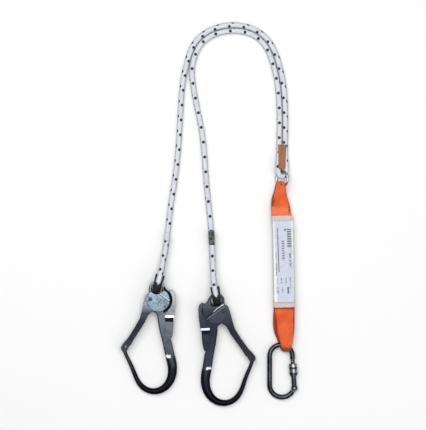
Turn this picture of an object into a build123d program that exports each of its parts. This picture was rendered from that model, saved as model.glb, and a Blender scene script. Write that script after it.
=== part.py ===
"""Twin-leg shock absorbing lanyard: two large scaffold hooks, rope, link ring, absorber, carabiner.

The lanyard lies on a flat surface at z = 0, with its long direction along Y and the carabiner at -Y.
The origin is under the middle of the hardware.  Millimetres, +Z up.
"""
from build123d import *
import math
import os

# Placement: the design is drawn from the left hook's eye, then shifted onto the origin.
DESIGN_SHIFT = (-98.57, 2.2, 0.0)

# Rope
ROPE_D = 10.5
ROPE_R = ROPE_D / 2
STRAND_GAP = 0.4
END_RADIUS_SHARE = 0.45

# Hook, in its own plane (x across, y up, z through the thickness)
CORE_T = 10.0
EAR_IN = 5.2
EAR_OUT = 7.0
CHEEK_IN = 7.3
CHEEK_OUT = 9.2
SHEET_T = 1.8
BAR_Y = 7.0
EYE_Z = 18.4
HOOK_TILT = 3.53
GATE_PIVOT = (-12.2, -21.6)
LEVER_PIVOT = (22.0, -84.0)
CHEEK_RIVET = (15.6, -36.2)
CHEEK_CENTRE = (2.8, -23.5)
CHEEK_R = 21.6
GATE_PIN_R = 2.5
LEVER_PIN_R = 2.2
PIN_CLEARANCE = 0.05
POCKET_R = 6.0
POCKET_T = 6.4
SPRING_WIRE = 1.2
LATCH_PIN = (-58.5, -111.5)
LATCH_PIN_R = 2.0

# Where each hook's eye bar sits, how the hook and its rope lean, and which face is up
LEFT_EYE = (2.0, 7.0)
LEFT_ROPE_LEAN = 16.0
LEFT_HOOK_TURN = 0.0
LEFT_BAR_X = 2.0
RIGHT_EYE = (111.2, -15.6)
RIGHT_ROPE_LEAN = -9.0
RIGHT_HOOK_TURN = 3.1
RIGHT_BAR_X = 0.0

# Thimble
THIMBLE_IN_R = 6.5
THIMBLE_WALL = 1.3
THIMBLE_HALF_W = 8.0
THIMBLE_DEPTH = 5.0
THIMBLE_LEG = 14.0
LOOP_R = THIMBLE_IN_R + THIMBLE_WALL + ROPE_R
LOOP_SLOPE = 17.0

# Link ring
RING_R = 14.0
RING_WIRE_R = 2.5
RING_TILT = 40.0
RING_CENTRE = (235.0, 203.0, 11.5)

# Absorber pack and its webbing loops
PACK_TOP = (235.9, 134.4)
PACK_LEN = 172.5
PACK_W = 43.0
PACK_T = 22.8
PACK_Z = 11.5
PACK_TURN = 1.1
SLEEVE_WALL = 0.8
WEB_T = 2.0
LOOP_T = 6.0
TAIL_IN = 19.0
FOLD_COUNT = 8
FOLD_PITCH = 2.25
FOLD_W = 38.0
SLEEVE_CORNER = 4.0
CARD_W, CARD_LEN = 37.0, 152.0
TACK_W, TACK_LEN = 28.0, 12.0

# Carabiner
WIRE_R = 4.75
CAR_CENTRE = (235.9, -157.9)
CAR_TILT = 3.55
CAR_TOP_R = 21.5
CAR_TOP_C = (-2.7, 28.0)
CAR_BOTTOM_R = 23.35
CAR_BOTTOM_C = (-0.85, -26.3)
CAR_HINGE = (22.4, -32.0)
CAR_GATE_TURN = 3.75
CAR_BAR_Y = CAR_TOP_C[1] + CAR_TOP_R
SCREW_R = 8.0
SCREW_LEN = 22.6

# Rope route, one list from the left tail to the right tail, in design coordinates
LEFT_TAIL = [
    (19.6, 101.0, 17.0), (17.6, 78.0, 16.9), (12.3, 53.0, 16.8), (7.4, 26.0, 25.9),
]
LEFT_STANDING = [
    (6.0, 21.0, 5.3), (11.0, 41.0, 5.4), (16.7, 70.0, 5.9), (20.9, 110.0, 6.0), (25.4, 152.0, 5.3),
    (34.0, 203.0, 5.4), (40.0, 258.0, 5.3), (43.2, 312.0, 5.3), (45.8, 362.0, 5.4), (50.6, 400.0, 5.3),
]
ARCH = [
    (60.2, 414.5), (65.4, 436.8), (77.0, 460.0), (95.7, 475.8), (118.0, 484.8), (143.0, 488.0),
    (167.3, 485.2), (188.3, 476.8), (205.8, 461.2), (219.2, 436.5), (229.8, 398.0), (235.0, 358.0),
    (236.2, 313.0), (235.4, 270.0),
]
CENTRE_EYE_HALF = 8.8
CENTRE_EYE_TWIST = 30.0
RIGHT_STANDING = [
    (65.2, 401.0, 5.3), (68.4, 373.0, 5.4), (75.6, 336.0, 5.3), (84.0, 296.0, 5.3), (88.9, 254.0, 5.4),
    (91.9, 204.0, 5.3), (97.2, 152.0, 5.4), (101.6, 112.0, 5.9), (103.2, 72.0, 6.0),
    (104.6, 34.0, 5.4), (107.9, 2.0, 5.3),
]
RIGHT_TAIL = [
    (107.2, 4.0, 25.9), (105.0, 31.0, 16.8), (104.6, 57.0, 16.9), (103.3, 80.0, 17.0), (102.4, 102.0, 16.9),
]


# ---------------------------------------------------------------- helpers

def corner_radius(before, corner, after):
    """The largest tangent arc that a corner of a route can hold."""
    a = Vector(*corner) - Vector(*before)
    b = Vector(*after) - Vector(*corner)
    half_turn = math.radians(a.get_angle(b)) / 2
    return END_RADIUS_SHARE * min(a.length, b.length) / math.tan(half_turn)


def route_radii(points):
    """The arc radius at every inner corner of a route."""
    return [corner_radius(*points[i - 1:i + 2]) for i in range(1, len(points) - 1)]


def rounded_outline(points, radius):
    """A closed flat face whose corners are rounded as far as their sides allow."""
    count = len(points)
    flat = [(x, y, 0) for x, y in points]
    radii = []
    for i in range(count):
        limit = corner_radius(flat[i - 1], flat[i], flat[(i + 1) % count])
        radii.append(min(radius, limit))
    return make_face(FilletPolyline(*flat, radius=radii, close=True))


def plate(face, low, high):
    """A flat face in the XY plane made solid from one height to another."""
    return extrude(face, amount=high - low).moved(Location((0, 0, low)))


def pair_of_plates(face, low, high):
    """The same plate on both sides of the middle plane."""
    return plate(face, low, high) + plate(face, -high, -low)


def disc(centre, radius, low, high):
    """A round plate or a pin along Z."""
    return plate(Pos(centre[0], centre[1]) * Circle(radius), low, high)


def rivet(centre, radius, grip, head_r, head_t):
    """A rivet along Z with a low domed head at each end."""
    body = disc(centre, radius, -grip, grip)
    for side in (1, -1):
        low, high = sorted((side * grip, side * (grip + head_t)))
        head = disc(centre, head_r, low, high)
        rim = head.faces().sort_by(Axis.Z)[-1 if side > 0 else 0].edges()
        body += fillet(rim, head_t * 0.7)
    return body


def torsion_spring(centre, coil_r, turns, leg):
    """A close coil along Z with a straight leg at each end."""
    pitch = SPRING_WIRE * 1.06
    height = pitch * turns
    start = (centre[0], centre[1], -height / 2)
    coil = Helix(pitch, height, coil_r, center=start)
    wire = sweep(Plane(coil @ 0, z_dir=coil % 0) * Circle(SPRING_WIRE / 2), coil, is_frenet=True)
    for point, heading in ((coil @ 0, -(coil % 0)), (coil @ 1, coil % 1)):
        wire += extrude(Plane(point, z_dir=heading) * Circle(SPRING_WIRE / 2), amount=leg)
    return wire


# ---------------------------------------------------------------- hook pieces, in the hook's own plane

CORE_OUTLINE = [
    (35.2, -137.0), (17.2, -137.0), (11.3, -107.2), (5.6, -84.6), (1.9, -65.8), (0.2, -50.0),
    (-7.0, -45.5), (-12.0, -38.0), (-15.6, -29.0), (-17.0, -20.0), (-15.0, -10.0), (-14.8, 2.0),
    (-8.6, 10.4), (8.6, 10.4), (14.8, 2.0), (18.6, -5.6), (25.2, -8.0), (28.2, -14.0), (28.6, -30.0),
    (27.0, -40.0), (23.0, -48.0), (22.6, -56.0), (24.4, -68.0), (25.0, -80.0), (24.4, -91.0),
    (25.4, -97.5), (28.0, -103.5), (30.3, -114.7),
]

# Centre, heading from +X of the inward normal, width across and thickness of the bend's sections
BEND_SECTIONS = [
    (25.3, -131.0, 193.0, 17.6, 10.0), (27.6, -141.5, 191.0, 18.0, 11.6), (29.1, -155.0, 182.0, 17.2, 12.0),
    (26.9, -170.0, 160.0, 16.2, 12.0), (19.8, -183.8, 132.0, 14.8, 12.0), (6.3, -194.2, 106.0, 13.0, 11.8),
    (-9.0, -196.5, 86.0, 11.4, 11.4), (-23.2, -191.2, 57.0, 10.6, 10.8), (-34.6, -179.4, 37.0, 9.5, 10.0),
    (-43.8, -159.0, 23.5, 8.2, 9.0), (-52.5, -139.3, 24.5, 7.2, 8.2), (-60.3, -121.8, 24.5, 6.8, 8.0),
    (-64.4, -111.6, 22.0, 6.4, 7.6),
]

GATE_WEB = [
    (-21.6, -15.0), (-25.2, -29.0), (-28.4, -44.0), (-32.0, -58.3), (-41.4, -75.2), (-54.5, -95.9),
    (-61.6, -104.0),
]
GATE_INNER = [
    (-40.6, -94.0), (-32.0, -80.8), (-22.6, -65.8), (-16.2, -52.0), (-6.0, -44.0), (-1.6, -30.0),
    (-1.6, -19.0), (-6.5, -12.2), (-14.0, -10.9),
]
GATE_TIP = [
    (-68.4, -114.0), (-64.6, -121.6), (-57.0, -121.6), (-52.0, -111.0), (-48.4, -108.0), (-45.1, -101.5),
]
LEVER_WEB = [(27.0, -4.6), (32.6, -9.0), (34.8, -17.0), (34.8, -34.0), (32.9, -55.6)]
LEVER_TAIL_WEB = [(30.6, -59.5), (31.4, -69.6), (30.8, -80.8), (29.6, -89.5), (27.6, -95.6)]
LEVER_INNER = [
    (22.6, -97.4), (19.4, -93.0), (16.9, -80.8), (15.8, -62.0), (15.0, -56.4), (15.2, -50.5), (20.2, -46.0),
    (23.2, -39.0), (26.4, -31.0), (28.9, -21.0), (27.0, -13.0), (22.2, -8.5),
]
LEDGE_OUTLINE = [(15.2, -52.2), (15.6, -56.6), (32.4, -56.6), (33.0, -52.2)]


def strip(points, thickness):
    """A bent strip of sheet, its outer face along the points and its thickness on their left."""
    inner = []
    for i, (x, y) in enumerate(points):
        before = Vector(*points[max(i - 1, 0)])
        after = Vector(*points[min(i + 1, len(points) - 1)])
        along = (after - before).normalized()
        inner.append((x - along.Y * thickness, y + along.X * thickness))
    return make_face(Polyline(*points, *reversed(inner), close=True))


def hook_body():
    """Forged hook: flat shank and eye, and a round tapered bend up to the nose."""
    core = plate(rounded_outline(CORE_OUTLINE, 9.0), -CORE_T / 2, CORE_T / 2)
    eye = [(-9.8, -12.0), (-9.8, 4.0), (9.8, 4.0), (9.8, -12.0)]
    core -= plate(rounded_outline(eye, 4.6), -CORE_T, CORE_T)
    on_face = core.edges().filter_by(lambda e: abs(abs(e.center().Z) - CORE_T / 2) < 0.01)
    rim = on_face.filter_by(lambda e: e.center().Y > -12.5)
    core = fillet(rim, 2.3)
    sections = []
    for x, y, heading, width, thick in BEND_SECTIONS:
        across = Vector(math.cos(math.radians(heading)), math.sin(math.radians(heading)), 0)
        face_normal = across.cross(Vector(0, 0, 1))
        place = Plane(origin=(x, y, 0), x_dir=across, z_dir=face_normal)
        sections.append(place * Ellipse(width / 2, thick / 2))
    body = core + loft(sections)
    for centre, radius in ((GATE_PIVOT, GATE_PIN_R), (LEVER_PIVOT, LEVER_PIN_R), (CHEEK_RIVET, 1.6)):
        body -= disc(centre, radius, -CORE_T, CORE_T)
    for centre in (GATE_PIVOT, LEVER_PIVOT):
        body -= disc(centre, POCKET_R, -POCKET_T / 2, POCKET_T / 2)
    return body


def cheek_face():
    """Round side plate with a hollow top that keeps clear of the thimble."""
    face = Pos(*CHEEK_CENTRE) * Circle(CHEEK_R) - Pos(0, 2.0) * Circle(14.2)
    for centre, radius in ((GATE_PIVOT, GATE_PIN_R), (CHEEK_RIVET, 1.6)):
        face -= Pos(*centre) * Circle(radius)
    return face


def cheek_front():
    """Full round side plate."""
    solid = plate(cheek_face(), CHEEK_IN, CHEEK_OUT)
    return chamfer(solid.faces().sort_by(Axis.Z)[-1].outer_wire().edges(), 0.5)


def cheek_back():
    """Side plate cut off along a slant, so the lever's side stays open."""
    slant = make_face(Polyline((24.0, -36.7), (-16.0, -1.5), (30.0, 20.0), (60.0, -20.0), close=True))
    solid = plate(cheek_face() - slant, -CHEEK_OUT, -CHEEK_IN)
    return chamfer(solid.faces().sort_by(Axis.Z)[0].outer_wire().edges(), 0.5)


def gate():
    """Bent sheet gate: two ears joined by a web, open round the nose."""
    side = rounded_outline(GATE_WEB + GATE_TIP + GATE_INNER, 6.0)
    body = pair_of_plates(side, EAR_IN, EAR_OUT)
    body += plate(strip(GATE_WEB, SHEET_T), -EAR_OUT, EAR_OUT)
    body -= disc(GATE_PIVOT, GATE_PIN_R + PIN_CLEARANCE, -CORE_T, CORE_T)
    body -= disc(LATCH_PIN, LATCH_PIN_R, -CORE_T, CORE_T)
    return body


def lever():
    """Bent sheet thumb lever on the back of the shank, with a finger step."""
    side = rounded_outline(LEVER_INNER[::-1] + LEVER_TAIL_WEB[::-1] + LEVER_WEB[::-1], 5.0)
    body = pair_of_plates(side, EAR_IN, EAR_OUT)
    body += plate(strip(LEVER_WEB[::-1], SHEET_T), -EAR_OUT, EAR_OUT)
    body += plate(strip(LEVER_TAIL_WEB[::-1], SHEET_T), -EAR_OUT, EAR_OUT)
    body += pair_of_plates(rounded_outline(LEDGE_OUTLINE, 1.5), EAR_IN, EAR_OUT + 1.6)
    body -= disc(LEVER_PIVOT, LEVER_PIN_R + PIN_CLEARANCE, -CORE_T, CORE_T)
    return body


def cheek_rivet():
    """Small rivet with a shoulder that holds the side plates off the core."""
    pin = rivet(CHEEK_RIVET, 1.6, CHEEK_OUT, 2.3, 0.8)
    for side in (1, -1):
        low, high = sorted((side * CORE_T / 2, side * CHEEK_IN))
        pin += disc(CHEEK_RIVET, 2.0, low, high)
    return pin


def hook_nodes(side):
    """Every piece of one hook, by node name."""
    return {
        f"hook_{side}_body": hook_body(),
        f"hook_{side}_cheek_front": cheek_front(),
        f"hook_{side}_cheek_back": cheek_back(),
        f"hook_{side}_cheek_rivet": cheek_rivet(),
        f"hook_{side}_gate": gate(),
        f"hook_{side}_gate_rivet": rivet(GATE_PIVOT, GATE_PIN_R, CHEEK_OUT, 3.8, 1.3),
        f"hook_{side}_gate_spring": torsion_spring(GATE_PIVOT, 4.2, 4, 3.0),
        f"hook_{side}_latch_pin": rivet(LATCH_PIN, LATCH_PIN_R, EAR_OUT, 2.9, 0.8),
        f"hook_{side}_lever": lever(),
        f"hook_{side}_lever_rivet": rivet(LEVER_PIVOT, LEVER_PIN_R, EAR_OUT + 0.1, 3.4, 1.0),
        f"hook_{side}_lever_spring": torsion_spring(LEVER_PIVOT, 4.2, 4, 3.0),
    }


def hook_place(side):
    """Where a hook lies: eye raised on its rope loop, bend resting on the surface."""
    if side == "left":
        return Location((*LEFT_EYE, EYE_Z)) * Location((0, 0, 0), (0, 0, LEFT_HOOK_TURN)) \
            * Location((0, 0, 0), (HOOK_TILT, 0, 0)) * Location((-LEFT_BAR_X, -BAR_Y, 0))
    return Location((*RIGHT_EYE, EYE_Z)) * Location((0, 0, 0), (0, 0, RIGHT_HOOK_TURN)) \
        * Location((0, 0, 0), (HOOK_TILT, 0, 0)) * Location((0, 0, 0), (0, 180, 0)) \
        * Location((-RIGHT_BAR_X, -BAR_Y, 0))


# ---------------------------------------------------------------- thimbles and rope

def loop_corners():
    """Corners (along the rope, height) of the rope's turn round a hook's eye bar, bottom to top."""
    turn = math.radians(180 + LOOP_SLOPE) / 4
    reach = LOOP_R / math.cos(turn / 2)
    corners = []
    for i in range(4):
        angle = -math.pi / 2 - turn / 2 - i * turn
        corners.append((reach * math.cos(angle), EYE_Z + reach * math.sin(angle)))
    return corners


def loop_points(eye, lean):
    """The rope's turn round a hook's eye bar, as points in space, bottom strand first."""
    dx = math.sin(math.radians(lean))
    dy = math.cos(math.radians(lean))
    return [(eye[0] + s * dx, eye[1] + s * dy, z) for s, z in loop_corners()]


def arch_strand(side):
    """One strand of the doubled stretch: the arch's middle line moved half a spacing to one side."""
    points = []
    for i, (x, y) in enumerate(ARCH):
        here = Vector(x, y)
        before = Vector(*ARCH[max(i - 1, 0)])
        after = Vector(*ARCH[min(i + 1, len(ARCH) - 1)])
        along = (after - before).normalized()
        offset = side * (ROPE_D + STRAND_GAP) / 2
        points.append((here.X - along.Y * offset, here.Y + along.X * offset, ROPE_R + 0.05))
    return points


def centre_eye_points():
    """The rope's turn through the link ring, between its two strands."""
    cx, cy, cz = RING_CENTRE
    top = cy + RING_R
    out = CENTRE_EYE_HALF * math.cos(math.radians(CENTRE_EYE_TWIST))
    up = CENTRE_EYE_HALF * math.sin(math.radians(CENTRE_EYE_TWIST))
    turn = math.radians(180) / 3
    reach = 1 / math.cos(turn / 2)
    path = [(cx + 5.8, 247.0, 5.6), (cx + out, 228.0, cz - 0.9 * up)]
    for i in range(3):
        angle = -turn / 2 - i * turn
        side = reach * math.cos(angle)
        path.append((cx + side * out, top + reach * math.sin(angle) * CENTRE_EYE_HALF, cz - side * up))
    path += [(cx - out, 228.0, cz + 0.9 * up), (cx - 5.6, 247.0, 8.6)]
    return path


def rope_route():
    """The whole rope, from the left tail to the right tail."""
    left_loop = loop_points(LEFT_EYE, LEFT_ROPE_LEAN)
    right_loop = loop_points(RIGHT_EYE, RIGHT_ROPE_LEAN)
    route = LEFT_TAIL + left_loop[::-1] + LEFT_STANDING
    route += arch_strand(1) + centre_eye_points() + arch_strand(-1)[::-1]
    route += RIGHT_STANDING + right_loop + RIGHT_TAIL
    return route


def rope():
    """The one rope, as a plain tube of straight runs and tangent arcs."""
    route = rope_route()
    radii = route_radii(route)
    print("rope corner radii:", [round(r, 1) for r in radii])
    path = FilletPolyline(*route, radius=radii)
    tube = sweep(Plane(path @ 0, z_dir=path % 0) * Circle(ROPE_R), path)
    print("rope length", round(path.length, 1), "volume / (section x length)",
          round(tube.volume / (math.pi * ROPE_R ** 2 * path.length), 4))
    return tube


def thimble(eye, lean):
    """Moulded thimble: a grooved liner between the eye bar and the rope."""
    groove = Pos(0, THIMBLE_WALL + ROPE_R) * Circle(ROPE_R + 0.02)
    outline = [
        (-5.6, 0.0), (5.6, 0.0), (THIMBLE_HALF_W, 2.6), (THIMBLE_HALF_W, THIMBLE_DEPTH),
        (-THIMBLE_HALF_W, THIMBLE_DEPTH), (-THIMBLE_HALF_W, 2.6),
    ]
    section = make_face(Polyline(*outline, close=True)) - groove
    slope = math.radians(LOOP_SLOPE)
    top = Vector(math.sin(slope), math.cos(slope)) * THIMBLE_IN_R
    run = Vector(math.cos(slope), -math.sin(slope)) * THIMBLE_LEG
    bottom_leg = Line((THIMBLE_LEG, -THIMBLE_IN_R), (0, -THIMBLE_IN_R))
    bend = ThreePointArc((0, -THIMBLE_IN_R), (-THIMBLE_IN_R, 0), (top.X, top.Y))
    top_leg = Line((top.X, top.Y), (top.X + run.X, top.Y + run.Y))
    path = Wire([bottom_leg.edge(), bend.edge(), top_leg.edge()])
    start = Plane(origin=path @ 0, x_dir=(0, 0, -1), z_dir=path % 0)
    liner = sweep(start * section, path)
    # Turn the loop's own plane (along the rope, height) upright, then along the rope.
    upright = Plane(origin=(0, 0, 0), x_dir=(0, 1, 0), z_dir=(1, 0, 0)).location
    return liner.moved(Location((*eye, EYE_Z)) * Location((0, 0, 0), (0, 0, -lean)) * upright)


def between_strands(points, width, height):
    """A stitched block that follows a middle line, as a loft of rectangles."""
    sections = []
    for i, (x, y, z, roll) in enumerate(points):
        before = Vector(*points[max(i - 1, 0)][:3])
        after = Vector(*points[min(i + 1, len(points) - 1)][:3])
        across = Vector(math.cos(math.radians(roll)), 0, math.sin(math.radians(roll)))
        place = Plane(origin=(x, y, z), x_dir=across, z_dir=after - before)
        sections.append(place * Rectangle(width, height))
    return loft(sections, ruled=True)


CENTRE_STITCH_LINE = [(235.5, 268.0, 5.65, 0.0), (235.4, 252.0, 6.3, -8.0), (235.2, 236.0, 9.0, -22.0)]
LEFT_STITCH_LINE = [(12.6, 53.0, 11.2, 90.0), (15.0, 65.0, 11.3, 90.0), (17.7, 82.0, 11.4, 90.0)]
RIGHT_STITCH_LINE = [(104.3, 38.0, 11.2, 90.0), (103.7, 53.0, 11.3, 90.0), (103.4, 68.0, 11.4, 90.0)]
LEFT_BAND_LINE = [(18.3, 86.0, 11.5, 90.0), (19.9, 99.0, 11.5, 90.0)]
RIGHT_BAND_LINE = [(103.2, 79.0, 11.5, 90.0), (102.1, 106.0, 11.5, 90.0)]


def tail_band(line):
    """Whipping round both strands where the tail ends."""
    sections = []
    for x, y, z, roll in line:
        ends = Vector(*line[-1][:3]) - Vector(*line[0][:3])
        place = Plane(origin=(x, y, z), x_dir=(0, 0, 1), z_dir=ends)
        sections.append(place * SlotCenterToCenter(ROPE_D + 0.6, ROPE_D + 1.4))
    return loft(sections, ruled=True)


# ---------------------------------------------------------------- link ring and absorber

def ring_tangent():
    """Direction of the ring's top and bottom bars."""
    return Vector(math.cos(math.radians(RING_TILT)), 0, math.sin(math.radians(RING_TILT)))


def link_ring():
    """Round ring, leaning on one side, with its weld inside the rope's eye."""
    place = Location(RING_CENTRE) * Location((0, 0, 0), (0, -RING_TILT, 0))
    across = Plane(origin=(0, RING_R, 0), z_dir=(1, 0, 0))
    weld = extrude(across * Circle(RING_WIRE_R + 0.4), amount=1.8, both=True)
    return (Torus(RING_R, RING_WIRE_R) + weld).moved(place)


UPPER_OUTLINE = [
    (-6.4, 60.0), (6.4, 60.0), (9.6, 50.0), (10.0, 40.0), (13.6, 22.0), (14.2, 0.0), (14.2, -TAIL_IN),
    (-19.6, -TAIL_IN), (-19.8, 10.0), (-19.6, 26.0), (-10.4, 38.0), (-9.4, 50.0),
]
LOWER_OUTLINE = [
    (-19.6, TAIL_IN), (19.6, TAIL_IN), (20.0, -20.0), (19.0, -46.0), (14.0, -74.0), (-14.0, -74.0),
    (-18.6, -46.0), (-19.8, -14.0),
]


def pack_place(distance):
    """Frame on the pack's middle line, a distance below its top edge."""
    turn = math.radians(PACK_TURN)
    x = PACK_TOP[0] + distance * math.sin(turn)
    y = PACK_TOP[1] - distance * math.cos(turn)
    return Location((x, y, PACK_Z)) * Location((0, 0, 0), (0, 0, PACK_TURN))


def upper_loop():
    """Webbing loop round the ring's lower bar, gathered narrow and sewn into the pack."""
    strap = plate(rounded_outline(UPPER_OUTLINE, 6.0), -LOOP_T / 2, LOOP_T / 2).moved(pack_place(0))
    bar = Vector(RING_CENTRE[0], RING_CENTRE[1] - RING_R, RING_CENTRE[2])
    across = Plane(origin=bar, x_dir=(0, 1, 0), z_dir=ring_tangent())
    eye = extrude(across * Circle(7.7), amount=7.0, both=True)
    hole = extrude(across * Circle(5.1), amount=30.0, both=True)
    return strap - extrude(across * Circle(7.0), amount=6.0, both=True) + eye - hole


def lower_loop():
    """Webbing loop round the carabiner's top bar."""
    strap = plate(rounded_outline(LOWER_OUTLINE, 6.0), -LOOP_T / 2, LOOP_T / 2).moved(pack_place(PACK_LEN))
    bar = Vector(CAR_CENTRE[0] + CAR_TOP_C[0], CAR_CENTRE[1] + CAR_BAR_Y, PACK_Z)
    low = bar - Vector(0, 6.6, 0)
    across = Plane(origin=(bar + low) * 0.5, x_dir=(0, 1, 0), z_dir=(1, 0, 0))
    eye = extrude(across * SlotCenterToCenter(6.6, 21.4), amount=13.0, both=True)
    hole = extrude(across * SlotCenterToCenter(6.6, 16.2), amount=30.0, both=True)
    return strap + eye - hole


def tear_webbing():
    """Long webbing folded to and fro and tacked together, which tears open in a fall."""
    length = PACK_LEN - 2 * TAIL_IN - 10.0
    half = length / 2
    base = -(FOLD_COUNT - 1) * FOLD_PITCH / 2 - 0.6
    body = None
    for i in range(FOLD_COUNT):
        z = base + i * FOLD_PITCH
        layer = Pos(0, 0, z) * Box(FOLD_W, length, WEB_T)
        body = layer if body is None else body + layer
        if i < FOLD_COUNT - 1:
            end = half if i % 2 == 0 else -half
            middle = z + FOLD_PITCH / 2
            bend = Plane(origin=(0, end, middle), x_dir=(0, 1, 0), z_dir=(1, 0, 0))
            outer = extrude(bend * Circle((FOLD_PITCH + WEB_T) / 2), amount=FOLD_W / 2, both=True)
            body += outer
    return body.moved(pack_place(PACK_LEN / 2))


def bartack(distance):
    """Zigzag sewn block on both faces of a loop's tail."""
    block = RectangleRounded(TACK_W, TACK_LEN, 1.5)
    return pair_of_plates(block, LOOP_T / 2, LOOP_T / 2 + 0.9).moved(pack_place(distance))


def clear_sleeve():
    """Clear shrink sleeve round the pack, open at both ends."""
    outer = RectangleRounded(PACK_W, PACK_T, SLEEVE_CORNER)
    inner = RectangleRounded(PACK_W - 2 * SLEEVE_WALL, PACK_T - 2 * SLEEVE_WALL, SLEEVE_CORNER - SLEEVE_WALL)
    tube = extrude(outer - inner, amount=PACK_LEN / 2, both=True)
    return tube.moved(pack_place(PACK_LEN / 2) * Location((0, 0, 0), (90, 0, 0)))


def label_card():
    """Printed card under the sleeve's front wall."""
    card = RectangleRounded(CARD_W, CARD_LEN, 2.0)
    top = PACK_T / 2 - SLEEVE_WALL - 0.2
    return plate(card, top - 0.5, top).moved(pack_place(PACK_LEN / 2))


# ---------------------------------------------------------------- carabiner, in its own plane

def arc_point(centre, radius, degrees):
    """A point on one of the carabiner's two bends."""
    angle = math.radians(degrees)
    return (centre[0] + radius * math.cos(angle), centre[1] + radius * math.sin(angle))


def carabiner_body():
    """Oval body: round bar from the nose, over the top, down the spine and up to the hinge ear."""
    nose_end = (CAR_TOP_C[0] + CAR_TOP_R, 22.0)
    nose_start = (CAR_TOP_C[0] + CAR_TOP_R, CAR_TOP_C[1])
    spine_top = (CAR_TOP_C[0] - CAR_TOP_R, CAR_TOP_C[1])
    spine_low = (CAR_BOTTOM_C[0] - CAR_BOTTOM_R, CAR_BOTTOM_C[1])
    cut_off = -33.0
    edges = [
        Line(nose_end, nose_start).edge(),
        ThreePointArc(nose_start, (CAR_TOP_C[0], CAR_BAR_Y), spine_top).edge(),
        Line(spine_top, spine_low).edge(),
        ThreePointArc(
            spine_low, arc_point(CAR_BOTTOM_C, CAR_BOTTOM_R, 230.0),
            arc_point(CAR_BOTTOM_C, CAR_BOTTOM_R, cut_off),
        ).edge(),
    ]
    path = Wire(edges)
    bar = sweep(Plane(path @ 0, z_dir=path % 0) * Circle(WIRE_R), path)
    hinge = Vector(*CAR_HINGE)
    ear = disc(CAR_HINGE, 6.3, -1.8, 1.8)
    root = Vector(*arc_point(CAR_BOTTOM_C, CAR_BOTTOM_R, cut_off - 4.0))
    along = (root - hinge).normalized()
    across = Vector(-along.Y, along.X) * 4.6
    corners = [hinge + across, hinge - across, root - across * 0.95, root + across * 0.95]
    ear += plate(make_face(Polyline(*[(c.X, c.Y) for c in corners], close=True)), -1.8, 1.8)
    tongue = plate(make_face(Polyline(
        (15.6, 24.0), (22.2, 24.0), (22.2, 15.8), (16.4, 15.8), (16.4, 16.9), (20.4, 16.9),
        (20.4, 20.2), (15.6, 20.2), close=True,
    )), -1.3, 1.3)
    body = bar + ear + tongue
    return body - disc(CAR_HINGE, 1.6, -CORE_T, CORE_T)


def gate_frame():
    """Placement of the carabiner gate's own axis, up from the hinge."""
    return Location((*CAR_HINGE, 0)) * Location((0, 0, 0), (0, 0, CAR_GATE_TURN))


def round_bar(radius, low, high, x=0.0):
    """A round bar along the gate's axis."""
    base = Plane(origin=(x, low, 0), x_dir=(1, 0, 0), z_dir=(0, 1, 0))
    return extrude(base * Circle(radius), amount=high - low)


GATE_TOP = 53.1
GATE_NECK = 46.0
GATE_R = 4.7


def carabiner_gate():
    """Round gate: fork round the hinge ear at the bottom, slotted neck at the top."""
    bar = round_bar(GATE_R, 0.0, GATE_NECK) + round_bar(3.8, GATE_NECK - 1.0, GATE_TOP)
    bar += Sphere(GATE_R)
    bar -= Pos(0, -1.0, 0) * Box(30.0, 15.6, 3.8)
    bar -= Pos(0, GATE_TOP, 0) * Box(30.0, 2 * (GATE_TOP - 47.2), 3.1)
    bar -= round_bar(2.6, 0.0, 30.0)
    bar = bar.moved(gate_frame())
    bar -= disc(CAR_HINGE, 1.55, -CORE_T, CORE_T)
    return bar - disc((18.6, 18.5), 1.2, -CORE_T, CORE_T)


def screw_sleeve():
    """Knurled screw sleeve on the gate, shown unscrewed."""
    start = 23.4
    tube = round_bar(SCREW_R, start + 2.4, start + SCREW_LEN - 1.0)
    tube += round_bar(SCREW_R - 1.3, start, start + SCREW_LEN)
    for centre in (start + 7.4, start + 11.8, start + 16.2):
        groove = round_bar(SCREW_R + 1, centre - 0.6, centre + 0.6)
        groove -= round_bar(SCREW_R - 0.7, centre - 1, centre + 1)
        tube -= groove
    tube -= round_bar(GATE_R + 0.08, start - 1, start + SCREW_LEN + 1)
    return tube.moved(gate_frame())


def gate_coil():
    """Compression spring inside the gate."""
    low, high, wire = 15.6, 29.2, 0.5
    coil = Helix(1.7, high - low - 2 * wire, 1.9, center=(0, low + wire, 0), direction=(0, 1, 0))
    return sweep(Plane(coil @ 0, z_dir=coil % 0) * Circle(wire), coil, is_frenet=True).moved(gate_frame())


def gate_plunger():
    """Plunger that presses on the hinge ear."""
    pin = round_bar(2.5, 8.4, 15.0)
    return (pin + Pos(0, 8.4, 0) * Sphere(2.0)).moved(gate_frame())


def carabiner_place():
    """The carabiner hangs from the webbing loop and rests on its lower end."""
    return Location((CAR_CENTRE[0], CAR_CENTRE[1] + CAR_BAR_Y, PACK_Z)) \
        * Location((0, 0, 0), (CAR_TILT, 0, 0)) * Location((0, -CAR_BAR_Y, 0))


def carabiner_nodes():
    """Every piece of the carabiner, by node name."""
    return {
        "carabiner_body": carabiner_body(),
        "carabiner_hinge_rivet": rivet(CAR_HINGE, 1.5, 4.75, 2.2, 0.5),
        "carabiner_gate": carabiner_gate(),
        "carabiner_latch_pin": disc((18.6, 18.5), 1.2, -3.5, 3.5),
        "carabiner_gate_spring": gate_coil(),
        "carabiner_gate_plunger": gate_plunger(),
        "carabiner_screw_sleeve": screw_sleeve(),
    }


# ---------------------------------------------------------------- the whole lanyard

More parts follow.
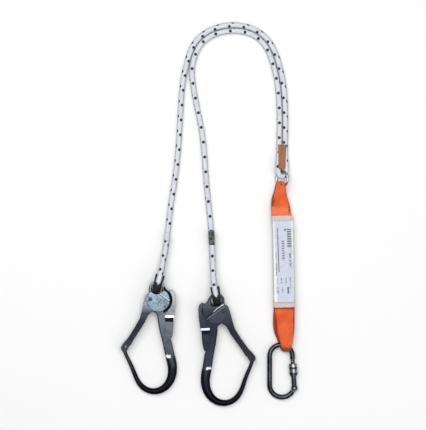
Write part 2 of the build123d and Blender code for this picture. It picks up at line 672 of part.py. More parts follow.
def all_nodes():
    """Every node of the lanyard in design coordinates."""
    tube = rope()
    nodes = {
        "rope": tube,
        "thimble_left": thimble(LEFT_EYE, LEFT_ROPE_LEAN),
        "thimble_right": thimble(RIGHT_EYE, RIGHT_ROPE_LEAN),
        "centre_stitching": between_strands(CENTRE_STITCH_LINE, 10.2, ROPE_D + 0.5) - tube,
        "splice_stitching_left": between_strands(LEFT_STITCH_LINE, 10.2, ROPE_D + 0.2) - tube,
        "splice_stitching_right": between_strands(RIGHT_STITCH_LINE, 10.2, ROPE_D + 0.2) - tube,
        "tail_band_left": tail_band(LEFT_BAND_LINE) - tube,
        "tail_band_right": tail_band(RIGHT_BAND_LINE) - tube,
        "link_ring": link_ring(),
        "absorber_upper_loop": upper_loop(),
        "absorber_lower_loop": lower_loop(),
        "absorber_tear_webbing": tear_webbing(),
        "absorber_upper_bartack": bartack(TAIL_IN / 2),
        "absorber_lower_bartack": bartack(PACK_LEN - TAIL_IN / 2),
        "absorber_clear_sleeve": clear_sleeve(),
        "absorber_label_card": label_card(),
    }
    for side in ("left", "right"):
        place = hook_place(side)
        for name, shape in hook_nodes(side).items():
            nodes[name] = shape.moved(place)
    place = carabiner_place()
    for name, shape in carabiner_nodes().items():
        nodes[name] = shape.moved(place)
    return nodes


os.makedirs("parts", exist_ok=True)
for node_name, node_shape in all_nodes().items():
    export_step(node_shape.moved(Location(DESIGN_SHIFT)), f"parts/{node_name}.step")
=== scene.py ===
"""Looks for a twin-leg shock absorbing lanyard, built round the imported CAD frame.

Lengths in the design are millimetres from the left hook's eye, moved onto the frame's origin by SHIFT.
"""
import math

import bpy
from mathutils import Matrix, Vector, noise


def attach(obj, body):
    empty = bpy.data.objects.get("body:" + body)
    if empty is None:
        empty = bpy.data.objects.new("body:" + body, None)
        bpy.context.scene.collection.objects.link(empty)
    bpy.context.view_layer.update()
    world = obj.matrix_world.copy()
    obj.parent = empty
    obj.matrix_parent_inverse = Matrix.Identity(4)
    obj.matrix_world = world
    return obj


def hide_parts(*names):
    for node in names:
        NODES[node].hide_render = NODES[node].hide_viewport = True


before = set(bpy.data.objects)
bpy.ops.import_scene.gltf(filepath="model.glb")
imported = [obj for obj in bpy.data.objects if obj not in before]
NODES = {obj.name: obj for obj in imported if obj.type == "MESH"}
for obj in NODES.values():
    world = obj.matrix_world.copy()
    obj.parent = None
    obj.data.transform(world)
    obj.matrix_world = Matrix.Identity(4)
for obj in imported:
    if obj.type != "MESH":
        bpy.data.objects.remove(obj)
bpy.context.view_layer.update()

MM = 0.001
SHIFT = Vector((-98.57, 2.2, 0.0))


def at(x, y, z=0.0):
    """A design point in the row frame, in metres."""
    return (Vector((x, y, z)) + SHIFT) * MM


# ---- camera, floor and lights

VIEW_CENTRE = at(105.3, 135.4, 8.0)
VIEW_WIDTH = 0.801
LENS = 190.0
SENSOR = 36.0
PHOTO_SHAPE = 430 / 426  # its height over its width
FLOOR_HALF = 6.0
FLOOR_DROP = 0.0006


def make_camera():
    """Straight down from far away, as the photograph was taken."""
    data = bpy.data.cameras.new("camera")
    data.lens = LENS
    data.sensor_width = SENSOR
    data.clip_end = 50.0
    cam = bpy.data.objects.new("camera", data)
    height = VIEW_WIDTH * LENS / SENSOR * PHOTO_SHAPE
    cam.location = VIEW_CENTRE + Vector((0, 0, height))
    bpy.context.scene.collection.objects.link(cam)
    bpy.context.scene.camera = cam


def area_light(name, where, size, watts, target):
    """A rectangular soft box aimed at a point."""
    data = bpy.data.lights.new(name, "AREA")
    data.shape = "RECTANGLE"
    data.size, data.size_y = size
    data.energy = watts
    lamp = bpy.data.objects.new(name, data)
    lamp.location = where
    lamp.rotation_mode = "QUATERNION"
    lamp.rotation_quaternion = (Vector(target) - Vector(where)).to_track_quat("-Z", "Y")
    bpy.context.scene.collection.objects.link(lamp)


def make_studio():
    """Pale floor, soft overhead boxes and a pale surround."""
    mesh = bpy.data.meshes.new("floor")
    corners = [(x * FLOOR_HALF, y * FLOOR_HALF, 0) for x, y in ((-1, -1), (1, -1), (1, 1), (-1, 1))]
    mesh.from_pydata(corners, [], [(0, 1, 2, 3)])
    floor = bpy.data.objects.new("floor", mesh)
    floor.location = (0, 0, -FLOOR_DROP)
    bpy.context.scene.collection.objects.link(floor)
    paper = bpy.data.materials.new("floor_paper")
    paper.use_nodes = True
    shader = paper.node_tree.nodes["Principled BSDF"]
    shader.inputs["Base Color"].default_value = (0.96, 0.96, 0.96, 1)
    shader.inputs["Roughness"].default_value = 0.9
    shader.inputs["Specular IOR Level"].default_value = 0.1
    mesh.materials.append(paper)
    middle = (0.0, 0.12, 0.0)
    area_light("key_box", (-0.9, 1.1, 2.0), (1.4, 0.8), 13, middle)
    area_light("fill_box", (1.5, -0.6, 1.8), (1.0, 1.0), 6, middle)
    area_light("top_box", (0.1, 0.3, 3.4), (2.6, 2.6), 79, middle)
    world = bpy.data.worlds.new("surround")
    world.use_nodes = True
    back = world.node_tree.nodes["Background"]
    back.inputs["Color"].default_value = (1.0, 1.0, 1.0, 1)
    back.inputs["Strength"].default_value = 0.22
    bpy.context.scene.world = world
    bpy.context.scene.view_settings.view_transform = "Standard"


# ---- shader helpers

class Shade:
    """A node material with short calls for the nodes that it needs."""

    def __init__(self, name, **values):
        self.material = bpy.data.materials.new(name)
        self.material.use_nodes = True
        self.tree = self.material.node_tree
        self.bsdf = self.tree.nodes["Principled BSDF"]
        for socket, value in values.items():
            self.bsdf.inputs[socket.replace("_", " ")].default_value = value

    def node(self, kind, inputs=None, **settings):
        made = self.tree.nodes.new("ShaderNode" + kind)
        for key, value in settings.items():
            setattr(made, key, value)
        for key, value in (inputs or {}).items():
            self.put(made.inputs[key], value)
        return made

    def put(self, socket, value):
        """Links a node's output, or sets a plain value."""
        if isinstance(value, bpy.types.NodeSocket):
            self.tree.links.new(value, socket)
        elif isinstance(value, bpy.types.Node):
            self.tree.links.new(value.outputs[0], socket)
        else:
            socket.default_value = value

    def math(self, kind, a, b=0.0, clamp=False):
        return self.node("Math", {0: a, 1: b}, operation=kind, use_clamp=clamp).outputs[0]

    def plus(self, a, b, clamp=False):
        return self.math("ADD", a, b, clamp)

    def less(self, a, b):
        return self.math("SUBTRACT", a, b)

    def times(self, a, b):
        return self.math("MULTIPLY", a, b)

    def uv(self):
        """The mesh's own U and V."""
        split = self.node("SeparateXYZ", {0: self.node("UVMap", uv_map="UVMap")})
        return split.outputs[0], split.outputs[1]

    def ramp(self, value, low, high, a=0.0, b=1.0):
        """The value's place between low and high, as a number from a to b."""
        inputs = {"Value": value, "From Min": low, "From Max": high, "To Min": a, "To Max": b}
        return self.node("MapRange", inputs, interpolation_type="SMOOTHSTEP").outputs[0]

    def noise(self, scale, detail, rough, stretch=None, seed=0.0):
        """Noise from about 0 to 1 over the object's own coordinates, in metres."""
        place = self.node("TexCoord").outputs["Object"]
        if stretch or seed:
            mapping = self.node("Mapping", {"Vector": place})
            mapping.inputs["Scale"].default_value = stretch or (1, 1, 1)
            mapping.inputs["Location"].default_value = (seed, seed * 0.7, -seed)
            place = mapping.outputs[0]
        inputs = {"Vector": place, "Scale": scale, "Detail": detail, "Roughness": rough}
        return self.node("TexNoise", inputs).outputs[0]

    def mix(self, share, a, b):
        """Colour a where the share is 0, colour b where it is 1."""
        made = self.node("Mix", data_type="RGBA")
        self.put(made.inputs[0], share)
        for socket, value in ((made.inputs[6], a), (made.inputs[7], b)):
            self.put(socket, (*value, 1.0) if isinstance(value, tuple) and len(value) == 3 else value)
        return made.outputs[2]

    def bump(self, height, strength, distance, under=None):
        made = self.node("Bump", {"Height": height, "Strength": strength, "Distance": distance})
        if under is not None:
            self.put(made.inputs["Normal"], under)
        return made.outputs[0]

    def set(self, socket, value):
        self.put(self.bsdf.inputs[socket], value)


# ---- rope

ROPE_D = 10.5
ROPE_R = ROPE_D / 2
STRAND_GAP = 0.4
ARCH_Z = ROPE_R + 0.05
EYE_Z = 18.4
THIMBLE_IN_R = 6.5
ROPE_OUT = 1.3 + ROPE_R  # from the thimble's bore to the rope's middle
LOOP_R = THIMBLE_IN_R + ROPE_OUT
LOOP_SLOPE = 17.0
LEFT_EYE, LEFT_LEAN = (2.0, 7.0), 16.0
RIGHT_EYE, RIGHT_LEAN = (111.2, -15.6), -9.0
RING_CENTRE, RING_R = (235.0, 203.0, 11.5), 14.0

LEFT_TAIL = [
    (19.6, 101.0, 17.0), (17.6, 78.0, 16.9), (12.3, 53.0, 16.8), (7.4, 26.0, 25.9),
]
LEFT_STANDING = [
    (6.0, 21.0, 5.3), (11.0, 41.0, 5.4), (16.7, 70.0, 5.9), (20.9, 110.0, 6.0), (25.4, 152.0, 5.3),
    (34.0, 203.0, 5.4), (40.0, 258.0, 5.3), (43.2, 312.0, 5.3), (45.8, 362.0, 5.4), (50.6, 400.0, 5.3),
]
ARCH = [
    (60.2, 414.5), (65.4, 436.8), (77.0, 460.0), (95.7, 475.8), (118.0, 484.8), (143.0, 488.0),
    (167.3, 485.2), (188.3, 476.8), (205.8, 461.2), (219.2, 436.5), (229.8, 398.0), (235.0, 358.0),
    (236.2, 313.0), (235.4, 270.0),
]
CENTRE_EYE_HALF = 8.8
CENTRE_EYE_TWIST = 30.0
CENTRE_EYE_TOP, CENTRE_EYE_SIDE = 247.0, 228.0
RIGHT_STANDING = [
    (65.2, 401.0, 5.3), (68.4, 373.0, 5.4), (75.6, 336.0, 5.3), (84.0, 296.0, 5.3), (88.9, 254.0, 5.4),
    (91.9, 204.0, 5.3), (97.2, 152.0, 5.4), (101.6, 112.0, 5.9), (103.2, 72.0, 6.0),
    (104.6, 34.0, 5.4), (107.9, 2.0, 5.3),
]
RIGHT_TAIL = [
    (107.2, 4.0, 25.9), (105.0, 31.0, 16.8), (104.6, 57.0, 16.9), (103.3, 80.0, 17.0), (102.4, 102.0, 16.9),
]


def loop_points(eye, lean):
    """The rope's turn round a hook's eye bar, bottom strand first."""
    turn = math.radians(180 + LOOP_SLOPE) / 4
    reach = LOOP_R / math.cos(turn / 2)
    dx, dy = math.sin(math.radians(lean)), math.cos(math.radians(lean))
    points = []
    for i in range(4):
        angle = -math.pi / 2 - turn / 2 - i * turn
        along, z = reach * math.cos(angle), EYE_Z + reach * math.sin(angle)
        points.append((eye[0] + along * dx, eye[1] + along * dy, z))
    return points


def arch_strand(side):
    """One strand of the doubled stretch, half a spacing to one side of the arch's middle line."""
    points = []
    for i, (x, y) in enumerate(ARCH):
        before = Vector(ARCH[max(i - 1, 0)])
        after = Vector(ARCH[min(i + 1, len(ARCH) - 1)])
        along = (after - before).normalized()
        offset = side * (ROPE_D + STRAND_GAP) / 2
        points.append((x - along.y * offset, y + along.x * offset, ARCH_Z))
    return points


def centre_eye_points():
    """The rope's turn through the link ring, between its two strands."""
    cx, cy, cz = RING_CENTRE
    top = cy + RING_R
    out = CENTRE_EYE_HALF * math.cos(math.radians(CENTRE_EYE_TWIST))
    up = CENTRE_EYE_HALF * math.sin(math.radians(CENTRE_EYE_TWIST))
    turn = math.radians(180) / 3
    reach = 1 / math.cos(turn / 2)
    path = [(cx + 5.8, CENTRE_EYE_TOP, 5.6), (cx + out, CENTRE_EYE_SIDE, cz - 0.9 * up)]
    for i in range(3):
        angle = -turn / 2 - i * turn
        side = reach * math.cos(angle)
        path.append((cx + side * out, top + reach * math.sin(angle) * CENTRE_EYE_HALF, cz - side * up))
    path += [(cx - out, CENTRE_EYE_SIDE, cz + 0.9 * up), (cx - 5.6, CENTRE_EYE_TOP, 8.6)]
    return path


def rope_route():
    """The whole rope, from the left tail to the right tail."""
    route = LEFT_TAIL + loop_points(LEFT_EYE, LEFT_LEAN)[::-1] + LEFT_STANDING
    route += arch_strand(1) + centre_eye_points() + arch_strand(-1)[::-1]
    route += RIGHT_STANDING + loop_points(RIGHT_EYE, RIGHT_LEAN) + RIGHT_TAIL
    return route


def smooth_line(points):
    """The NURBS curve through a route, read back as close points in metres."""
    curve = bpy.data.curves.new("route", "CURVE")
    curve.dimensions = "3D"
    spline = curve.splines.new("NURBS")
    spline.points.add(len(points) - 1)
    for control, point in zip(spline.points, points):
        control.co = (*at(*point), 1.0)
    spline.order_u = 3
    spline.use_endpoint_u = True
    spline.resolution_u = 24
    holder = bpy.data.objects.new("route", curve)
    bpy.context.scene.collection.objects.link(holder)
    mesh = bpy.data.meshes.new_from_object(holder)
    line = [v.co.copy() for v in mesh.vertices]
    bpy.data.objects.remove(holder)
    bpy.data.meshes.remove(mesh)
    return line


def length_of(line):
    return sum((b - a).length for a, b in zip(line, line[1:]))


def even_steps(line, step):
    """Points a fixed distance apart along a line."""
    total = length_of(line)
    count = max(2, round(total / step))
    step = total / count
    out, i, gone = [line[0].copy()], 0, 0.0
    for n in range(1, count):
        want = n * step
        while gone + (line[i + 1] - line[i]).length < want:
            gone += (line[i + 1] - line[i]).length
            i += 1
        part = line[i + 1] - line[i]
        out.append(line[i] + part * ((want - gone) / part.length))
    out.append(line[-1].copy())
    return out


def carried_frames(line, first):
    """Tangent, side and up at every point, carried along with no twist."""
    frames, up = [], Vector(first)
    for i in range(len(line)):
        tangent = (line[min(i + 1, len(line) - 1)] - line[max(i - 1, 0)]).normalized()
        up = (up - tangent * up.dot(tangent)).normalized()
        frames.append((tangent, tangent.cross(up), up.copy()))
    return frames


def new_object(name, verts, faces, uvs):
    """A smooth mesh object linked to the scene, with a UV per face corner where uvs isn't empty."""
    mesh = bpy.data.meshes.new(name)
    mesh.from_pydata(verts, [], faces)
    if uvs:
        layer = mesh.uv_layers.new(name="UVMap")
        layer.data.foreach_set("uv", [c for face in uvs for uv in face for c in uv])
    mesh.polygons.foreach_set("use_smooth", [True] * len(mesh.polygons))
    mesh.update()
    obj = bpy.data.objects.new(name, mesh)
    bpy.context.scene.collection.objects.link(obj)
    return obj


def closed_tube(name, verts, rings, place=None, outward=True, cap_uv=(0.5, 0.0)):
    """A tube through rings of points, closed at both ends.

    Place gives the UV of a ring's point, counted on past the seam; outward says that the points run by the
    right-hand rule about the tube's run.
    """
    n = len(verts) // rings
    faces, uvs = [], []
    for i in range(1, rings):
        for k in range(n):
            corners = [(i - 1, k), (i - 1, k + 1), (i, k + 1), (i, k)]
            if not outward:
                corners = [corners[0], *corners[:0:-1]]
            faces.append([ring * n + point % n for ring, point in corners])
            if place:
                uvs.append([place(ring, point) for ring, point in corners])
    first, last = list(range(n)), list(range((rings - 1) * n, rings * n))
    faces += [first[::-1], last] if outward else [first, last[::-1]]
    if place:
        uvs += [[cap_uv] * n] * 2
    return new_object(name, verts, faces, uvs)


def stand_in(piece, material, body, replaced):
    """A detailed mesh takes a CAD node's place and rides its body."""
    piece.data.materials.append(material)
    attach(piece, body)
    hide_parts(replaced)
    return piece


STRANDS = 8
CELL = 3.5 * MM
PITCH = STRANDS * CELL
ROPE_SEGMENTS = 32
RING_STEP = CELL / 4
BRAID_RELIEF = 0.36
BRAID_TURN = 117.0
NUDGE = 1e-6  # keeps braid coordinates off whole numbers


def braid_height(u, v):
    """Height of the sheath at braid coordinates u and v, 0 in the gaps and 1 on a strand's crown."""
    iu, iv = math.floor(u), math.floor(v)
    fu, fv = u - iu, v - iv
    over = (iv - iu) % 4
    across, along = (fu, fv) if over < 2 else (fv, fu)
    place = (over % 2) + along if over < 2 else ((iu - iv) % 4 - 1) % 2 + along
    crown = 1 - (2 * across - 1) ** 2
    ends = min(1.0, 2.2 * min(place, 2 - place) + 0.25)
    return crown * ends


def braided_tube(name, line, turn):
    """A rope sheath as a mesh tube with its braid as real relief."""
    frames = carried_frames(line, (0, 0, 1))
    verts = []
    for i, (p, (_, side, up)) in enumerate(zip(line, frames)):
        s = i * RING_STEP
        for k in range(ROPE_SEGMENTS):
            angle = 2 * math.pi * k / ROPE_SEGMENTS + turn
            share = k / ROPE_SEGMENTS
            u = STRANDS * share - s / CELL
            v = STRANDS * share + s / CELL
            high = braid_height(u + NUDGE, v + NUDGE)
            r = (ROPE_R - BRAID_RELIEF + BRAID_RELIEF * high) * MM
            # angle grows by the right-hand rule about the tangent
            verts.append(p + (up * math.cos(angle) - side * math.sin(angle)) * r)
    return closed_tube(name, verts, len(line), cap_uv=(0.5, 0.5),
                       place=lambda ring, k: (k / ROPE_SEGMENTS, ring * RING_STEP / PITCH))


def rope_material():
    """White sheath with painted grey shade in the braid's gaps and on the sides that turn from up, and one dark
    tracer strand.
    """
    s = Shade("rope_sheath", Roughness=0.62, Sheen_Weight=0.25, Sheen_Roughness=0.5)
    around, along = [s.times(place, float(STRANDS)) for place in s.uv()]
    u = s.less(around, along)
    v = s.plus(around, along)
    iu, iv = s.math("FLOOR", u), s.math("FLOOR", v)
    fu, fv = s.less(u, iu), s.less(v, iv)
    step = s.math("FLOORED_MODULO", s.less(iv, iu), 4.0)
    on_top = s.math("LESS_THAN", step, 1.5)
    # a dot wherever the dark tracer strand comes to the top
    du = s.less(s.math("FLOORED_MODULO", s.plus(u, 3.5), float(STRANDS)), 4.0)
    dv = s.less(s.math("FLOORED_MODULO", s.plus(v, 1.0), 4.0), 2.0)
    reach = s.plus(s.times(du, du), s.times(dv, dv))
    ragged = s.ramp(s.noise(900.0, 2.0, 0.5), 0.3, 0.7, -0.12, 0.12)
    tracer = s.ramp(s.plus(reach, ragged), 1.45, 1.15)
    # across the strand that shows: 0 at its edges, 1 on its crown
    side_u = s.times(on_top, fu)
    side_v = s.times(s.less(1.0, on_top), fv)
    across = s.plus(side_u, side_v)
    off = s.math("ABSOLUTE", s.less(across, 0.5))
    crown = s.ramp(off, 0.5, 0.18)
    yarn = s.math("SINE", s.times(across, 2 * math.pi * 3))
    grime_and_shade_noise = s.noise(60.0, 4.0, 0.6)
    white = s.mix(s.ramp(grime_and_shade_noise, 0.35, 0.75), (0.84, 0.86, 0.92), (0.70, 0.72, 0.77))
    # painted shade in the gaps between the strands
    crease = s.mix(s.times(s.less(1.0, crown), 0.5), white, (0.34, 0.36, 0.42))
    upward = s.node("SeparateXYZ", {0: s.node("NewGeometry").outputs["True Normal"]}).outputs[2]
    # painted shade: the sides that turn away from up are greyer
    painted_side_shade = s.ramp(s.plus(upward, s.ramp(grime_and_shade_noise, 0.3, 0.7, -0.12, 0.12)), 0.18, 0.84, 0.66, 0.0)
    shaded = s.mix(painted_side_shade, crease, (0.15, 0.155, 0.19))
    s.set("Base Color", s.mix(tracer, shaded, (0.012, 0.013, 0.022)))
    s.set("Normal", s.bump(yarn, 0.35, 0.00012, s.bump(crown, 0.5, 0.00025)))
    return s.material


def make_rope():
    """The rope, built as one cord from the left splice's tail to the right one's."""
    coarse = smooth_line(rope_route())
    line = even_steps(coarse, RING_STEP)
    braid = braided_tube("rope_braid", line, math.radians(BRAID_TURN))
    stand_in(braid, rope_material(), "rope_set", "rope")
    return braid, even_steps(coarse, 4 * MM)


make_camera()
make_studio()
rope, rope_path = make_rope()

# ---- frames of the rigid groups

BAR_Y = 7.0
HOOK_TILT = 3.53
PACK_TOP = (235.9, 134.4)
PACK_LEN = 172.5
PACK_Z = 11.5
PACK_TURN = 1.1
CAR_CENTRE = (235.9, -157.9)
CAR_TILT = 3.55
CAR_BAR_Y = 49.5


def shifted(x, y, z):
    return Matrix.Translation((x, y, z))


def turned(degrees, axis):
    return Matrix.Rotation(math.radians(degrees), 4, axis)


def design_frame(matrix):
    """A frame drawn in design millimetres, as a matrix in millimetres in the row frame."""
    return Matrix.Translation(SHIFT) @ matrix


LEFT_HOOK = design_frame(shifted(*LEFT_EYE, EYE_Z) @ turned(HOOK_TILT, "X") @ shifted(-2.0, -BAR_Y, 0))
RIGHT_HOOK = design_frame(shifted(*RIGHT_EYE, EYE_Z) @ turned(3.1, "Z") @ turned(HOOK_TILT, "X")
                          @ turned(180, "Y") @ shifted(0, -BAR_Y, 0))
PACK = design_frame(shifted(*PACK_TOP, PACK_Z) @ turned(PACK_TURN, "Z"))
CARABINER = design_frame(shifted(CAR_CENTRE[0], CAR_CENTRE[1] + CAR_BAR_Y, PACK_Z) @ turned(CAR_TILT, "X")
                         @ shifted(0, -CAR_BAR_Y, 0))


def local(s, matrix):
    """X, Y and Z of the shaded point in a group's own frame, in millimetres."""
    where = matrix.to_translation() * MM
    mapping = s.node("Mapping", {"Vector": s.node("TexCoord").outputs["Object"]}, vector_type="TEXTURE")
    mapping.inputs["Location"].default_value = where
    mapping.inputs["Rotation"].default_value = matrix.to_euler("XYZ")
    mapping.inputs["Scale"].default_value = (MM, MM, MM)
    split = s.node("SeparateXYZ", {0: mapping})
    return [split.outputs[i] for i in range(3)]


def window(s, value, low, high, soft):
    """1 between low and high, falling to 0 over soft on both sides."""
    up = s.ramp(value, low - soft, low + soft)
    down = s.ramp(value, high - soft, high + soft, 1.0, 0.0)
    return s.times(up, down)


def patch(s, x, y, spans, soft, soft_y=None):
    """1 inside the spans (x low, x high, y low, y high)."""
    return s.times(window(s, x, *spans[:2], soft), window(s, y, *spans[2:], soft_y or soft))


# ---- metals

def graded(s, value, stops):
    """A colour read along a value through (value, colour) stops."""
    low, high = stops[0][0], stops[-1][0]
    ramp = s.node("ValToRGB", {0: s.node("MapRange", {"Value": value, "From Min": low, "From Max": high})})
    band = ramp.color_ramp
    band.interpolation = "EASE"
    while len(band.elements) < len(stops):
        band.elements.new(0.5)
    for element, (place, colour) in zip(band.elements, stops):
        element.position = (place - low) / (high - low)
        element.color = (*colour, 1)
    return ramp.outputs[0]


def steel(name, matrix, stops, rough=0.38, marks=(), seed=0.0, edge=0.5, edge_wear_and_light=(0.5, 0.51, 0.53),
          cloudy=1.0, lines=(), crescents=(), mottle=0.0):
    """Plated or blackened steel, graded along its group's Y, with clouding, scratches and edges of their own
    colour.

    The grading is part finish and part painted reflection.  A mark is (x low, x high, y low, y high, softness,
    colour, roughness) in the group's frame: a painted highlight on a facet or step, or a painted shadow under a
    step; a line is (its normal's x and y, offset along the normal, half width, colour), a band of colour, the
    bright ones painted highlights along a slanted edge with painted shade beside them; a crescent is (centre x,
    centre y, inner radius, outer radius, x low, colour), a painted shadow in the gap beside a side plate.  Edge
    is the rounding of the edges in millimetres, edge_wear_and_light their colour, part wear and part painted
    highlight, cloudy the strength of the clouding and mottle the depth of a fine blotching.
    """
    s = Shade(name, Metallic=1.0)
    x, y, _ = local(s, matrix)
    base = graded(s, y, stops)
    cloud = s.noise(55.0, 6.0, 0.62, seed=seed)
    speck = s.noise(1300.0, 2.0, 0.6, seed=seed + 1.0)
    clouding = s.ramp(cloud, 0.3, 0.7, 1 - 0.28 * cloudy, 1 + 0.22 * cloudy)
    shade = s.plus(clouding, s.ramp(speck, 0.35, 0.7, -0.10, 0.14))
    if mottle:
        blotch = s.noise(330.0, 3.0, 0.6, seed=seed + 8.0)
        shade = s.plus(shade, s.ramp(blotch, 0.35, 0.66, -mottle, mottle))
    colour = s.node("VectorMath", {0: base, 1: (1, 1, 1)}, operation="SCALE")
    s.put(colour.inputs["Scale"], shade)
    colour = colour.outputs[0]
    scratch = s.noise(420.0, 3.0, 0.6, stretch=(1.0, 0.12, 1.0), seed=seed + 2.0)
    roughness = s.plus(s.ramp(cloud, 0.3, 0.7, rough - 0.07, rough + 0.10),
                       s.ramp(scratch, 0.55, 0.75, 0.0, -0.07))
    for *spans, soft, tint, gloss in marks:
        wobble = s.ramp(s.noise(300.0, 2.0, 0.5, seed=seed + 5.0), 0.0, 1.0, -soft, soft)
        mask = patch(s, x, s.plus(y, wobble), spans, soft)
        colour = s.mix(mask, colour, tint)
        roughness = s.node("Mix", {0: mask, 2: roughness, 3: gloss}, data_type="FLOAT").outputs[0]
    for centre_x, centre_y, inner, outer, low_x, tint in crescents:
        dx, dy = s.less(x, centre_x), s.less(y, centre_y)
        away = s.math("SQRT", s.plus(s.times(dx, dx), s.times(dy, dy)))
        mask = s.times(window(s, away, inner, outer, 0.5), s.ramp(x, low_x - 1.0, low_x + 1.0))
        colour = s.mix(mask, colour, tint)
    for across_x, across_y, offset, half, tint in lines:
        away = s.plus(s.times(x, across_x), s.times(y, across_y))
        wander = s.ramp(s.noise(150.0, 2.0, 0.5, seed=seed + 7.0), 0.2, 0.8, -half, half)
        colour = s.mix(window(s, s.plus(away, wander), offset - half, offset + half, 0.35), colour, tint)
    rounded = s.node("Bevel", {"Radius": edge * MM}, samples=6).outputs[0]
    facing = s.node("NewGeometry")
    turn = s.node("VectorMath", {0: rounded, 1: facing.outputs["True Normal"]}, operation="DOT_PRODUCT")
    patchy = s.ramp(s.noise(500.0, 3.0, 0.6, seed=seed + 6.0), 0.38, 0.62)
    # the rounded edges take their own colour: part wear, part painted highlight
    rim = s.times(s.ramp(turn.outputs["Value"], 0.995, 0.86), patchy)
    colour = s.mix(s.times(rim, 0.5), colour, edge_wear_and_light)
    s.set("Base Color", colour)
    s.set("Roughness", roughness)
    waves = s.bump(cloud, 0.25, 0.0008, s.bump(speck, 0.10, 0.0003, rounded))
    s.set("Normal", s.bump(scratch, 0.10, 0.0002, waves))
    return s.material


def paint(node, material):
    """A carried-over CAD node takes a material on every face."""
    obj = NODES[node]
    obj.data.materials.clear()
    obj.data.materials.append(material)
    return obj


# painted highlights on the shank's facet and on the lever's step
LEFT_FACET_HIGHLIGHT = (14.5, 25.5, -132.4, -127.6, 1.8, (0.62, 0.62, 0.72), 0.35)
LEFT_STEP_HIGHLIGHT = (13.0, 36.0, -56.8, -52.4, 0.5, (0.56, 0.60, 0.64), 0.3)
GREY, BLUE_BLACK = (0.25, 0.25, 0.27), (0.03, 0.03, 0.04)
RIGHT_FACET_HIGHLIGHT = (15.0, 26.0, -130.6, -127.2, 1.8, (0.6, 0.6, 0.72), 0.35)
RIGHT_STEP_HIGHLIGHT = (13.0, 36.0, -56.8, -52.6, 0.4, (0.42, 0.41, 0.50), 0.3)
# a painted shadow under the lever's step
UNDERCUT_SHADOW = (13.0, 33.0, -64.5, -57.0, 0.8, (0.008, 0.009, 0.014), 0.5)
# a painted shadow crescent in the gap between the left side plate and the lever
LEFT_GAP_SHADOW = (2.8, -23.5, 18.0, 26.6, 12.0, (0.005, 0.006, 0.008))


def paint_hook(side, body, plates, gate, lever, rivets):
    """The five materials of one hook, over its eleven pieces."""
    small = ("cheek_rivet", "gate_rivet", "latch_pin", "gate_spring", "lever_spring")
    for material, parts in ((body, ["body"]), (plates, ["cheek_front", "cheek_back"]), (gate, ["gate"]),
                            (lever, ["lever", "lever_rivet"]), (rivets, small)):
        for part in parts:
            paint("hook_" + side + "_" + part, material)


def paint_left_hook():
    """Zinc plated hook: pale side plates, dark gate arm, bend almost black; the grading is part plating, part
    painted reflection.
    """
    body = steel("left_forging", LEFT_HOOK, [
        (-205.0, (0.006, 0.007, 0.009)), (-165.0, (0.012, 0.013, 0.018)), (-138.0, (0.035, 0.038, 0.05)),
        (-112.0, (0.055, 0.062, 0.075)), (-60.0, (0.085, 0.105, 0.125)), (-30.0, (0.05, 0.06, 0.07)),
        (10.0, (0.28, 0.31, 0.34)),
    ], marks=[LEFT_FACET_HIGHLIGHT], seed=1.0, cloudy=1.5, crescents=[LEFT_GAP_SHADOW], mottle=0.16)
    plates = steel("left_side_plate", LEFT_HOOK, [
        (-45.0, (0.145, 0.185, 0.225)), (0.0, (0.175, 0.22, 0.27)),
    ], seed=2.0, cloudy=1.9, mottle=0.32, edge_wear_and_light=(0.05, 0.06, 0.075), lines=[
        # painted shade and a painted highlight along the slanted edge; the third line is a dark band
        (0.61, 0.79, -7.0, 0.6, (0.04, 0.05, 0.07)), (0.61, 0.79, -5.2, 0.5, (0.40, 0.45, 0.50)),
        (-0.5, 0.87, -38.0, 0.4, (0.06, 0.07, 0.09)),
    ])
    gate = steel("left_gate_sheet", LEFT_HOOK, [
        (-122.0, (0.03, 0.033, 0.038)), (-70.0, (0.016, 0.018, 0.024)), (-50.0, (0.032, 0.037, 0.045)),
        (-32.0, (0.15, 0.175, 0.21)), (-12.0, (0.20, 0.24, 0.28)),
    ], seed=3.0, cloudy=1.4, mottle=0.2)
    lever = steel("left_lever_sheet", LEFT_HOOK, [
        (-97.0, (0.075, 0.083, 0.095)), (-60.0, (0.095, 0.108, 0.12)), (-48.0, (0.16, 0.17, 0.18)),
        (-6.0, (0.27, 0.28, 0.29)),
    ], marks=[LEFT_STEP_HIGHLIGHT, UNDERCUT_SHADOW], seed=4.0, crescents=[LEFT_GAP_SHADOW], mottle=0.14)
    rivets = steel("left_rivets", LEFT_HOOK, [(-120.0, (0.10, 0.11, 0.12)), (0.0, (0.05, 0.055, 0.06))],
                   seed=5.0)
    paint_hook("left", body, plates, gate, lever, rivets)


